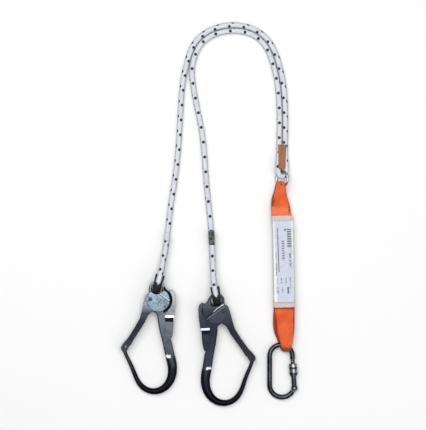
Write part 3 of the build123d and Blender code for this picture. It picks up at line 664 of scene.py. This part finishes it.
def paint_right_hook():
    """Blackened hook with a blue cast; its grading, darkest at the bend, is part finish, part painted
    reflection.
    """
    body = steel("right_forging", RIGHT_HOOK, [
        (-205.0, (0.006, 0.006, 0.009)), (-160.0, (0.013, 0.014, 0.022)), (-112.0, (0.026, 0.028, 0.042)),
        (-60.0, (0.016, 0.019, 0.028)), (-30.0, (0.02, 0.023, 0.032)), (10.0, (0.07, 0.075, 0.085)),
    ], marks=[RIGHT_FACET_HIGHLIGHT], seed=11.0, edge_wear_and_light=(0.05, 0.05, 0.06), mottle=0.15)
    plates = steel("right_side_plate", RIGHT_HOOK, [
        (-45.0, (0.03, 0.034, 0.045)), (0.0, (0.045, 0.047, 0.06)),
    ], seed=12.0, edge_wear_and_light=(0.6, 0.62, 0.68), lines=[
        # a painted highlight along the slanted edge, with painted shade beside it
        (0.541, 0.841, -14.7, 0.8, (0.34, 0.36, 0.42)), (0.541, 0.841, -19.2, 0.4, (0.14, 0.15, 0.18)),
        (0.541, 0.841, -17.2, 0.9, (0.008, 0.009, 0.012)),
    ])
    gate = steel("right_gate_sheet", RIGHT_HOOK, [
        (-122.0, (0.02, 0.02, 0.024)), (-60.0, (0.014, 0.016, 0.02)), (-25.0, (0.03, 0.034, 0.042)),
        (-10.0, (0.05, 0.055, 0.065)),
    ], seed=13.0, edge_wear_and_light=(0.3, 0.32, 0.36))
    lever = steel("right_lever_sheet", RIGHT_HOOK, [
        (-97.0, (0.018, 0.020, 0.029)), (-50.0, (0.022, 0.024, 0.036)), (-6.0, (0.04, 0.045, 0.055)),
    ], marks=[RIGHT_STEP_HIGHLIGHT, UNDERCUT_SHADOW], seed=14.0, edge_wear_and_light=(0.10, 0.10, 0.12), mottle=0.15)
    rivets = steel("right_rivets", RIGHT_HOOK, [(-120.0, BLUE_BLACK), (0.0, BLUE_BLACK)], seed=15.0)
    paint_hook("right", body, plates, gate, lever, rivets)


def paint_carabiner():
    """Dark carabiner body and gate with a brighter knurled sleeve, banded with painted reflections."""
    body = steel("carabiner_bar", CARABINER, [(-55.0, (0.04, 0.044, 0.05)), (55.0, (0.055, 0.06, 0.07))],
                 rough=0.19, cloudy=1.8, seed=21.0, edge=0.3, edge_wear_and_light=(0.4, 0.41, 0.43))
    # the sleeve's bright and dark bands along it are painted reflections
    sleeve = steel("carabiner_sleeve", CARABINER, [
        (-8.0, (0.06, 0.07, 0.08)), (-4.0, (0.035, 0.042, 0.05)), (-1.0, (0.30, 0.33, 0.35)),
        (3.4, (0.36, 0.40, 0.42)), (5.2, (0.03, 0.036, 0.042)), (7.2, (0.04, 0.046, 0.052)),
        (8.6, (0.42, 0.45, 0.47)), (12.0, (0.30, 0.32, 0.34)),
    ], rough=0.22, seed=22.0, edge=0.2)
    rivet = steel("carabiner_rivets", CARABINER, [(-50.0, GREY), (50.0, GREY)], seed=23.0)
    for part, material in (("body", body), ("gate", body), ("screw_sleeve", sleeve), ("hinge_rivet", rivet),
                           ("latch_pin", rivet), ("gate_spring", rivet), ("gate_plunger", rivet)):
        paint("carabiner_" + part, material)
    ring = steel("ring_steel", PACK, [(0.0, (0.34, 0.36, 0.37)), (90.0, (0.48, 0.50, 0.52))],
                 rough=0.22, seed=24.0, edge=0.2)
    paint("link_ring", ring)


def plastic_material():
    """Black moulded plastic with a fine texture and light scuffs."""
    s = Shade("thimble_plastic")
    scuff = s.noise(160.0, 5.0, 0.65)
    fine = s.noise(2500.0, 2.0, 0.6, seed=1.0)
    s.set("Base Color", s.mix(s.ramp(scuff, 0.52, 0.75), (0.006, 0.006, 0.009), (0.024, 0.024, 0.0285)))
    s.set("Roughness", s.ramp(scuff, 0.3, 0.7, 0.46, 0.64))
    s.set("Normal", s.bump(fine, 0.2, 0.0001))
    return s.material


paint_left_hook()
paint_right_hook()
paint_carabiner()

# ---- thimbles

THIMBLE_LEG = 14.0
THIMBLE_ARC = 14
LEG_STEPS, BEND_STEPS = 8, 30
LEG_CLOSED = 0.15  # how far the gutter has closed where a leg meets the bend
# half width, depth on the bar's side and on the open side, way round: the shell, then its bore
SHELL_WALL = (8.2, ROPE_OUT, 6.6, 1)
BORE_WALL = (5.7, 5.6, 5.6, -1)
SHELL_FLARE = 0.7


def thimble_path():
    """Stations (along, height, direction in degrees, closed share, flare share) round the eye bar."""
    stations = []
    for i in range(LEG_STEPS + 1):
        part = i / LEG_STEPS
        stations.append((THIMBLE_LEG * (1 - part), -THIMBLE_IN_R, 0.0, LEG_CLOSED * part, 1 - part))
    bend = 180 + LOOP_SLOPE
    for i in range(1, BEND_STEPS + 1):
        turn = bend * i / BEND_STEPS
        angle = math.radians(-90 - turn)
        closed = min(1.0, LEG_CLOSED + (1 - LEG_CLOSED) * min(turn / 40, (bend - turn) / 26))
        stations.append((THIMBLE_IN_R * math.cos(angle), THIMBLE_IN_R * math.sin(angle), turn, closed, 0.0))
    slope = math.radians(LOOP_SLOPE)
    along, high = stations[-1][:2]
    for i in range(1, LEG_STEPS + 1):
        part = i / LEG_STEPS
        gone = THIMBLE_LEG * part
        stations.append((along + gone * math.cos(slope), high - gone * math.sin(slope), bend,
                         LEG_CLOSED * (1 - part), part))
    return stations


def thimble(side, eye, lean):
    """Moulded liner, an open gutter along the legs that closes over the rope at the heel."""
    ahead = Vector((math.sin(math.radians(lean)), math.cos(math.radians(lean)), 0))
    across = Vector((math.cos(math.radians(lean)), -math.sin(math.radians(lean)), 0))
    middle = Vector((eye[0], eye[1], EYE_Z))
    verts, stations = [], thimble_path()
    for along, high, turn, closed, flare in stations:
        angle = math.radians(-90 - turn)
        out = ahead * math.cos(angle) + Vector((0, 0, math.sin(angle)))
        base = middle + ahead * along + Vector((0, 0, high))
        reach = 96 + 83.4 * closed  # degrees of wall to each side
        for wall in (SHELL_WALL, BORE_WALL):
            wide, low, top, way = wall
            wide += SHELL_FLARE * flare if wall is SHELL_WALL else 0.0
            for k in range(THIMBLE_ARC + 1):
                turned_by = math.radians(reach * (2 * k / THIMBLE_ARC - 1) * way)
                drop = math.cos(turned_by)
                rise = ROPE_OUT - drop * (low if drop > 0 else top)
                verts.append(at(*(base + across * (wide * math.sin(turned_by)) + out * rise)))
    piece = closed_tube("thimble_shell_" + side, verts, len(stations))
    edge = piece.modifiers.new("soft_edge", "BEVEL")
    edge.width = 0.3 * MM
    edge.segments = 2
    return stand_in(piece, thimble_plastic, "rope_set", "thimble_" + side)


thimble_plastic = plastic_material()
on_rope = [thimble("left", LEFT_EYE, LEFT_LEAN), thimble("right", RIGHT_EYE, RIGHT_LEAN)]

# ---- webbing

WEB_T = 2.0
WEB_HALF = 19.0
ROW_STEPS = 6


def ribbon(name, stations, across=14):
    """A strap as a closed solid through stations.

    A station is (centre, across direction, normal, half width, curl, thickness share), in design millimetres;
    curl is how far the two edges drop against the normal.  The weave gathers where the strap narrows.
    """
    verts, places = [], []
    length = 0.0
    n = 2 * (across + 1)
    for i, (centre, side, normal, half, curl, share) in enumerate(stations):
        if i:
            length += (centre - stations[i - 1][0]).length
        t = WEB_T * share / 2
        for layer in (1, -1):
            for k in range(across + 1):
                f = (2 * k / across - 1) * layer
                edge = 1 - 0.55 * max(0.0, (abs(f) - 0.86) / 0.14) ** 2
                drop = curl * abs(f) ** 2.6
                verts.append(at(*(centre + side * (f * half) + normal * (layer * t * edge - drop))))
                places.append((f * WEB_HALF * 0.01 + 0.5, length * 0.01))
    return closed_tube(name, verts, len(stations), outward=False,
                       place=lambda ring, k: places[ring * n + k % n])


def spread_rows(rows):
    """ROW_STEPS rows for each given one, on a smooth line through them."""
    out = []
    for i in range(len(rows) - 1):
        four = [rows[max(i - 1, 0)], rows[i], rows[i + 1], rows[min(i + 2, len(rows) - 1)]]
        for j in range(ROW_STEPS):
            t = j / ROW_STEPS
            out.append([0.5 * ((2 * b) + (c - a) * t + (2 * a - 5 * b + 4 * c - d) * t * t
                               + (3 * b - a - 3 * c + d) * t * t * t) for a, b, c, d in zip(*four)])
    out.append(rows[-1])
    return out


def webbing_material(name, main, deep, shade_and_marks=()):
    """Woven webbing: ribs along it, picks across, darker selvedges, soft fading and painted shade on the layers
    behind.

    A mark is (x low, x high, y low, y high, z low, softness, colour, dash length) in the pack's frame, in
    millimetres: painted shade, a painted highlight, the film's milky tint or a dashed seam; a dash length of 0
    leaves it whole.
    """
    s = Shade(name, Roughness=0.72, Sheen_Weight=0.3, Sheen_Roughness=0.4)
    u, v = s.uv()
    across, along = s.times(s.less(u, 0.5), 100.0), s.times(v, 100.0)
    rib = s.math("SINE", s.times(across, 2 * math.pi / 1.3))
    slant = s.plus(along, s.times(s.math("ABSOLUTE", s.math("SINE", s.times(across, 0.35))), 1.6))
    pick = s.math("SINE", s.times(slant, 2 * math.pi / 1.7))
    weave = s.plus(s.times(rib, 0.5), s.times(pick, 0.5))
    fade = s.noise(45.0, 4.0, 0.6)
    fuzz = s.noise(1800.0, 3.0, 0.6)
    share = s.plus(s.ramp(weave, -0.9, 0.7, 0.35, 0.0), s.ramp(fade, 0.35, 0.7, 0.0, 0.5))
    selvedge = s.ramp(s.math("ABSOLUTE", across), WEB_HALF - 2.4, WEB_HALF - 0.6, 0.0, 0.45)
    colour = s.mix(s.plus(share, selvedge, clamp=True), main, deep)
    x, y, z = local(s, PACK)
    ragged = s.ramp(s.noise(220.0, 3.0, 0.6), 0.25, 0.75, -1.0, 1.0)
    for *spans, low_z, soft, tint, dash in shade_and_marks:
        loose = s.times(ragged, 0.0 if dash else soft)
        mask = patch(s, s.plus(x, loose), s.plus(y, loose), spans, soft)
        mask = s.times(mask, s.ramp(z, low_z - 0.5, low_z + 0.5))
        if dash:
            mask = s.times(mask, s.math("LESS_THAN", s.math("FLOORED_MODULO", y, dash), 0.62 * dash))
        colour = s.mix(mask, colour, tint)
    # painted shade: the layers behind the front one take a darker copy of the deep colour
    behind = s.ramp(s.plus(z, ragged), -1.5, -4.5, 0.0, 0.75)
    colour = s.mix(behind, colour, tuple(c * 0.42 for c in deep))
    s.set("Base Color", colour)
    s.set("Roughness", s.ramp(fade, 0.3, 0.7, 0.6, 0.85))
    s.set("Normal", s.bump(weave, 0.55, 0.0003, s.bump(fuzz, 0.15, 0.0002)))
    return s.material


# BROWN paints shade along the loops' edges, at the sleeve's mouth and round the lower loop's end, and one small
# dark mark near the upper loop's top; SALMON is a painted highlight on the upper loop; FILMED is the film's
# milky tint on webbing inside the sleeve; SEAM is dark sewing thread.
BROWN = (0.27, 0.045, 0.014)
SEAM = (0.07, 0.012, 0.008)
FILMED = (0.70, 0.56, 0.55)
SALMON = (0.90, 0.205, 0.085)
UPPER_SHADE_AND_MARKS = (
    (-30.0, -15.6, 14.0, 42.0, -9.0, 1.2, BROWN, 0.0),
    (12.6, 30.0, 8.0, 36.0, -9.0, 0.9, BROWN, 0.0),
    (-30.0, 30.0, 0.0, 16.0, -9.0, 3.5, SALMON, 0.0),
    (-3.0, 0.5, 56.5, 60.0, 1.0, 0.7, BROWN, 0.0),
    (11.0, 13.4, 3.5, 17.0, 0.0, 0.3, SEAM, 4.4),
    (-30.0, 30.0, -25.0, -0.6, -9.0, 0.6, FILMED, 0.0),
)
LOWER_SHADE_AND_MARKS = (
    (-30.0, 30.0, -172.2, -150.0, -9.0, 0.6, FILMED, 0.0),
    (-30.0, 30.0, -176.0, -172.4, -9.0, 0.8, BROWN, 0.0),
    (-30.0, 30.0, -256.0, -247.0, -12.0, 3.0, BROWN, 0.0),
    (15.8, 17.8, -226.0, -174.0, 0.0, 0.3, SEAM, 4.4),
    (-16.2, -14.2, -232.0, -196.0, 0.0, 0.3, SEAM, 4.4),
)
ORANGE = (0.92, 0.150, 0.026)
ORANGE_DEEP = (0.66, 0.060, 0.012)

# A loop's row is (y, both edges' x, height over the pack's middle, tilt of its run, curl, roll), from inside
# the sleeve over the front, round the end and back; tilt turns the run from up the strap (0) over the end
# (180), in the y-z plane.
UPPER_ROWS = (
    (118.0, 215.5, 253.5, 3.6, 0, 0.3, 0),
    (130.0, 214.8, 252.6, 4.2, 0, 0.6, 0),
    (140.0, 214.3, 251.0, 5.0, 2, 1.6, 0),
    (150.0, 214.2, 249.0, 5.6, 2, 2.6, 2),
    (160.0, 214.8, 246.6, 6.2, 0, 4.2, 5),
    (170.0, 217.4, 243.6, 6.3, -2, 5.4, 9),
    (180.0, 220.6, 241.8, 6.0, -4, 5.0, 14),
    (189.0, 222.2, 241.0, 5.2, 4, 3.6, 18),
    (195.5, 223.2, 240.6, 3.8, 38, 2.2, 20),
    (198.2, 223.8, 240.2, 0.5, 90, 1.0, 20),
    (195.5, 223.4, 240.6, -3.4, 142, 1.6, 20),
    (189.0, 222.4, 241.2, -5.0, 176, 3.0, 18),
    (180.0, 220.8, 242.4, -5.6, 180, 4.0, 14),
    (170.0, 217.0, 245.0, -5.6, 180, 4.0, 9),
    (160.0, 215.0, 248.0, -5.2, 180, 3.4, 5),
    (150.0, 214.6, 250.5, -4.6, 180, 2.0, 2),
    (140.0, 214.6, 252.0, -4.2, 180, 1.0, 0),
    (130.0, 215.2, 253.0, -4.0, 180, 0.5, 0),
    (118.0, 215.5, 253.5, -3.6, 180, 0.2, 0),
)
LOWER_ROWS = (
    (-20.0, 219.6, 258.2, 3.8, 0, 0.3, 0),
    (-32.0, 219.6, 258.4, 4.4, 0, 0.5, 0),
    (-42.0, 220.2, 258.6, 5.4, 2, 1.2, 0),
    (-55.0, 223.2, 258.6, 6.6, 2, 2.2, 0),
    (-70.0, 224.6, 258.4, 7.2, 0, 2.8, 0),
    (-85.0, 226.4, 257.6, 7.4, 0, 3.4, 0),
    (-98.0, 230.0, 256.0, 7.5, 0, 3.6, 0),
    (-108.0, 232.4, 254.4, 7.3, -6, 3.2, 0),
    (-116.5, 233.6, 252.4, 5.8, -38, 2.4, 0),
    (-121.0, 234.4, 250.4, 0.6, -90, 1.6, 0),
    (-117.0, 232.0, 251.8, -5.0, -142, 2.0, 0),
    (-108.0, 229.0, 254.0, -7.0, -176, 2.4, 0),
    (-98.0, 225.4, 255.6, -7.4, -180, 2.2, 0),
    (-85.0, 220.4, 257.0, -7.2, -180, 1.8, 0),
    (-70.0, 218.2, 257.8, -6.6, -180, 1.4, 0),
    (-55.0, 218.4, 258.2, -5.6, -180, 1.0, 0),
    (-42.0, 219.2, 258.4, -4.6, -180, 0.6, 0),
    (-32.0, 219.6, 258.4, -4.2, -180, 0.3, 0),
    (-20.0, 219.6, 258.2, -3.8, -180, 0.2, 0),
)


def stations_from(rows):
    """Ribbon stations from a loop's rows."""
    numbers = [[y, left, right, PACK_Z + z, *rest] for y, left, right, z, *rest in rows]
    out = []
    for y, left, right, z, tilt, curl, roll in spread_rows(numbers):
        angle, lean = math.radians(tilt), math.radians(roll)
        side = Vector((math.cos(lean), 0, math.sin(lean)))
        up = Vector((-math.sin(lean), 0, math.cos(lean)))
        normal = up * math.cos(angle) + Vector((0, 1, 0)) * math.sin(angle)
        out.append((Vector(((left + right) / 2, y, z)), side, normal, (right - left) / 2, curl, 1.0))
    return out


# the gathered loop through the link ring, then the wide one round the carabiner
for end, rows, shade_and_marks in (("upper", UPPER_ROWS, UPPER_SHADE_AND_MARKS), ("lower", LOWER_ROWS, LOWER_SHADE_AND_MARKS)):
    strap = ribbon(end + "_webbing", stations_from(rows))
    woven = webbing_material("orange_webbing_" + end, ORANGE, ORANGE_DEEP, shade_and_marks)
    stand_in(strap, woven, "absorber", "absorber_" + end + "_loop")

# ---- sewing on the rope


def thread_material(name, main, dark, pitch, blots=0.0):
    """Close sewing thread: fine rows with soiling, and dark blots where asked."""
    s = Shade(name, Roughness=0.68, Sheen_Weight=0.3)
    along = s.times(s.uv()[1], 100.0)
    wander = s.ramp(s.noise(350.0, 2.0, 0.5), 0.3, 0.7, -0.35, 0.35)
    row = s.math("SINE", s.times(s.plus(along, wander), 2 * math.pi / pitch))
    fade = s.noise(120.0, 4.0, 0.6)
    share = s.plus(s.ramp(row, -1.0, 0.4, 0.55, 0.0), s.ramp(fade, 0.4, 0.7, 0.0, 0.5), clamp=True)
    colour = s.mix(share, main, dark)
    if blots:
        blot = s.ramp(s.noise(230.0, 2.0, 0.5, seed=3.0), 0.60 - 0.1 * blots, 0.66 - 0.1 * blots)
        colour = s.mix(blot, colour, (0.010, 0.010, 0.012))
    s.set("Base Color", colour)
    s.set("Normal", s.bump(row, 0.7, 0.00035, s.bump(fade, 0.2, 0.0004)))
    return s.material


def film_material(name, alpha):
    """Clear shrink film, slightly milky, with long wrinkles, paler along them: part milkiness, part painted
    sheen.
    """
    s = Shade(name, Roughness=0.14, Alpha=alpha)
    wrinkle = s.noise(55.0, 3.0, 0.6, stretch=(1.0, 0.25, 1.0), seed=4.0)
    fine = s.noise(300.0, 3.0, 0.6, seed=6.0)
    # painted sheen: the film is paler along its wrinkles
    s.set("Base Color", s.mix(s.ramp(wrinkle, 0.4, 0.65), (0.86, 0.88, 0.88), (0.97, 0.98, 0.96)))
    s.set("Normal", s.bump(wrinkle, 0.8, 0.003, s.bump(fine, 0.2, 0.0004)))
    return s.material


def rope_point_at(y, low, high):
    """The rope's middle where it crosses a y of the design, between two shares of its length."""
    want = (y + SHIFT.y) * MM
    first, last = int(low * len(rope_path)), int(high * len(rope_path))
    for a, b in zip(rope_path[first:last], rope_path[first + 1:last]):
        if (a.y - want) * (b.y - want) <= 0 and a.y != b.y:
            return (a.lerp(b, (want - a.y) / (b.y - a.y))) / MM - SHIFT
    return None


SEWING_TOP, SEWING_LEN, SEWING_STEPS = 268.0, 47.0, 48
SEWING_R = ROPE_R + 0.75
SEWING_T = 1.1


def centre_stitching():
    """Machine sewing laid over both strands above the link ring."""
    verts = []
    for i in range(SEWING_STEPS + 1):
        y = SEWING_TOP - SEWING_LEN * i / SEWING_STEPS
        ragged = 1.2 * noise.noise(Vector((0.0, y * 0.35, 2.0)))
        one, two = rope_point_at(y, 0.3, 0.5), rope_point_at(y, 0.5, 0.7)
        left, right = (one, two) if one.x < two.x else (two, one)
        row = []
        # degrees where the sewing leaves the strands; it narrows towards the ring
        outer = 112 - 34 * (i / SEWING_STEPS) ** 1.6 + 5 * ragged
        for centre, first, last in ((left, outer, 38), (right, 142, 182 - outer)):
            for k in range(6):
                turn = math.radians(first + (last - first) * k / 5)
                out, up = SEWING_R * math.cos(turn), SEWING_R * math.sin(turn)
                row.append(Vector((centre.x + out, y, centre.z + up)))
        row += [p - Vector((0, 0, SEWING_T)) for p in reversed(row)]
        verts += [at(*p) for p in row]
    piece = closed_tube("centre_sewing", verts, SEWING_STEPS + 1, outward=False,
                        place=lambda ring, k: (0.5 + k * 0.01, ring * 0.0098))
    thread = thread_material("brown_thread", (0.52, 0.235, 0.10), (0.28, 0.10, 0.04), 1.25)
    return stand_in(piece, thread, "rope_set", "centre_stitching")


WRAP_SIDES = 28
WRAP_LIFT = 5.55
WRAP_RELIEF = 0.16


def wrapping(name, replaced, line, grow, pitch, material):
    """Thread or tape wound round a tail and the strand under it, as a stadium tube with its turns in relief."""
    start, end = Vector(line[0]), Vector(line[1])
    ahead = (end - start).normalized()
    side = ahead.cross(Vector((0, 0, 1))).normalized()
    up = side.cross(ahead)
    length = (end - start).length
    steps = max(8, int(length / (pitch / 4)))
    verts = []
    for i in range(steps + 1):
        gone = length * i / steps
        relief = WRAP_RELIEF * math.cos(2 * math.pi * gone / pitch)
        close = 0.35 * max(0.0, 1 - min(gone, length - gone) / 1.2)
        r = ROPE_R + grow + relief - close
        for k in range(WRAP_SIDES):
            angle = 2 * math.pi * k / WRAP_SIDES
            lift = WRAP_LIFT if math.sin(angle) >= 0 else -WRAP_LIFT
            rim = side * (math.cos(angle) * r) + up * (math.sin(angle) * r + lift)
            verts.append(at(*(start + ahead * gone + rim)))
    piece = closed_tube(name, verts, steps + 1,
                        place=lambda ring, k: (k / WRAP_SIDES, length * ring / steps * 0.01))
    return stand_in(piece, material, "rope_set", replaced)


white_thread = thread_material("white_thread", (0.62, 0.64, 0.68), (0.34, 0.35, 0.38), 1.1)
dark_tape = thread_material("dark_tape", (0.16, 0.18, 0.17), (0.05, 0.055, 0.06), 2.6, 1.0)
clear_tape = film_material("clear_tape", 0.22)
on_rope += [
    centre_stitching(),
    wrapping("left_splice_sewing", "splice_stitching_left",
             ((12.6, 53.0, 11.25), (16.9, 82.0, 11.4)), -0.75, 1.1, white_thread),
    wrapping("right_splice_sewing", "splice_stitching_right",
             ((104.3, 38.0, 11.25), (103.4, 70.0, 11.4)), -0.75, 1.1, white_thread),
    wrapping("left_tail_tape", "tail_band_left",
             ((18.1, 86.0, 11.5), (19.9, 99.0, 11.5)), 0.45, 3.0, clear_tape),
    wrapping("right_tail_tape", "tail_band_right",
             ((103.2, 79.0, 11.5), (102.1, 106.0, 11.5)), 0.6, 2.6, dark_tape),
]

# ---- inside the sleeve


TEAR_LEN = PACK_LEN - 2 * 19.0 - 10.0
TEAR_HALF = 18.9
TEAR_PITCH, TEAR_LAYERS = 2.25, 8


def in_pack(x, y, z):
    """A point of the pack's own frame (millimetres from its top edge's middle), in design millimetres."""
    turn = math.radians(PACK_TURN)
    return Vector((PACK_TOP[0] + x * math.cos(turn) - y * math.sin(turn),
                   PACK_TOP[1] + x * math.sin(turn) + y * math.cos(turn), PACK_Z + z))


def tear_webbing():
    """Eight layers of white webbing folded to and fro."""
    top, bottom = -PACK_LEN / 2 + TEAR_LEN / 2, -PACK_LEN / 2 - TEAR_LEN / 2
    base = -(TEAR_LAYERS - 1) * TEAR_PITCH / 2 - 0.6
    turn = math.radians(PACK_TURN)
    side = Vector((math.cos(turn), math.sin(turn), 0))
    down = Vector((math.sin(turn), -math.cos(turn), 0))
    stations = []

    def put(x, y, z, normal, half):
        stations.append((in_pack(x, y, z), side, normal, half, 0.1, 0.98))

    for i in range(TEAR_LAYERS):
        z = base + i * TEAR_PITCH
        way = 1 if i % 2 == 0 else -1
        for k in range(9):
            y = bottom + (top - bottom) * (k / 8 if way > 0 else 1 - k / 8)
            wave = 0.12 * math.sin(0.7 * k + 1.9 * i)
            put(0.25 * math.sin(k + i), y, z, Vector((0, 0, way)), TEAR_HALF + wave)
        if i < TEAR_LAYERS - 1:
            end = top if way > 0 else bottom
            for k in range(1, 6):
                angle = math.radians(180 * k / 6)
                reach = way * math.sin(angle) * TEAR_PITCH / 2
                normal = Vector((0, 0, way * math.cos(angle))) + down * math.sin(angle)
                put(0, end + reach, z + TEAR_PITCH / 2 * (1 - math.cos(angle)), normal, TEAR_HALF)
    strap = ribbon("tear_webbing", stations, across=10)
    white = webbing_material("white_webbing", (0.78, 0.79, 0.80), (0.55, 0.56, 0.57))
    stand_in(strap, white, "absorber", "absorber_tear_webbing")


def label_material():
    """Pale blue card with greeked print: bars and dashes only.

    A mark is (x low, x high, y low, y high, what breaks it up, from which level, ink) in the pack's frame.
    """
    s = Shade("printed_card")
    x, y, _ = local(s, PACK)
    x = s.plus(x, s.times(y, 0.018))  # the card lies askew
    cloud = s.noise(90.0, 5.0, 0.6)
    fine = s.noise(1500.0, 2.0, 0.6)
    colour = s.mix(s.ramp(cloud, 0.3, 0.7), (0.52, 0.555, 0.70), (0.63, 0.66, 0.80))
    dash = s.noise(420.0, 1.0, 0.4, stretch=(0.25, 1.0, 1.0), seed=7.0)
    coarse = s.noise(260.0, 1.0, 0.4, stretch=(0.6, 1.0, 1.0), seed=9.0)
    rungs = s.math("SINE", s.times(y, 2 * math.pi / 4.5))
    print_marks = (
        (6.6, 14.6, -61.0, -25.0, rungs, -0.5, (0.004, 0.004, 0.02)),
        (1.6, 5.2, -29.0, -24.4, None, 0.0, (0.004, 0.004, 0.02)),
        (-4.2, 1.2, -84.0, -46.0, rungs, -0.2, (0.16, 0.035, 0.16)),
        (9.4, 13.0, -99.0, -67.0, dash, 0.44, (0.10, 0.10, 0.16)),
        (-11.8, -9.8, -106.0, -23.5, dash, 0.30, (0.03, 0.035, 0.06)),
        (-16.4, -14.5, -112.0, -68.0, dash, 0.40, (0.03, 0.035, 0.06)),
        (-15.6, -13.6, -127.0, -117.0, dash, 0.42, (0.10, 0.105, 0.16)),
        (-8.0, -5.6, -127.0, -116.0, dash, 0.42, (0.10, 0.105, 0.16)),
        (0.6, 3.0, -127.0, -116.0, dash, 0.42, (0.10, 0.105, 0.16)),
        (8.8, 10.8, -137.0, -115.0, dash, 0.44, (0.12, 0.125, 0.18)),
        (-14.8, -12.4, -148.0, -134.0, dash, 0.44, (0.14, 0.145, 0.20)),
        (-6.6, -4.4, -145.0, -134.0, dash, 0.44, (0.14, 0.145, 0.20)),
        (3.6, 7.0, -146.5, -134.0, coarse, 0.40, (0.02, 0.02, 0.05)),
    )
    for *spans, broken, level, ink in print_marks:
        mask = patch(s, x, y, spans, 0.3, 0.4)
        if broken is not None:
            mask = s.times(mask, s.ramp(broken, level, level + 0.06))
        colour = s.mix(mask, colour, ink)
    # the film's glare along both long edges
    patchy = s.plus(s.math("ABSOLUTE", x), s.ramp(s.noise(70.0, 3.0, 0.6, seed=2.0), 0.3, 0.7, -1.6, 1.6))
    colour = s.mix(s.ramp(patchy, 15.0, 18.2), colour, (0.86, 0.90, 0.88))
    s.set("Base Color", colour)
    s.set("Roughness", s.ramp(cloud, 0.3, 0.7, 0.38, 0.55))
    s.set("Normal", s.bump(fine, 0.08, 0.0001, s.bump(cloud, 0.2, 0.0012)))
    return s.material


def bartack_material():
    """Zigzag sewing over the loop's tail."""
    s = Shade("zigzag_sewing", Roughness=0.7)
    x, y, _ = local(s, PACK)
    zig = s.math("PINGPONG", x, 1.1)
    row = s.math("SINE", s.times(s.plus(y, zig), 2 * math.pi / 1.5))
    fade = s.noise(200.0, 4.0, 0.6)
    colour = s.mix(s.ramp(row, -0.8, 0.6), (0.42, 0.045, 0.02), (0.80, 0.20, 0.07))
    s.set("Base Color", s.mix(s.ramp(fade, 0.45, 0.75, 0.0, 0.5), colour, (0.85, 0.5, 0.36)))
    s.set("Normal", s.bump(row, 0.8, 0.0004))
    return s.material


tear_webbing()
paint("absorber_label_card", label_material())
paint("absorber_clear_sleeve", film_material("clear_film", 0.07))
bartack = bartack_material()
paint("absorber_upper_bartack", bartack)
paint("absorber_lower_bartack", bartack)
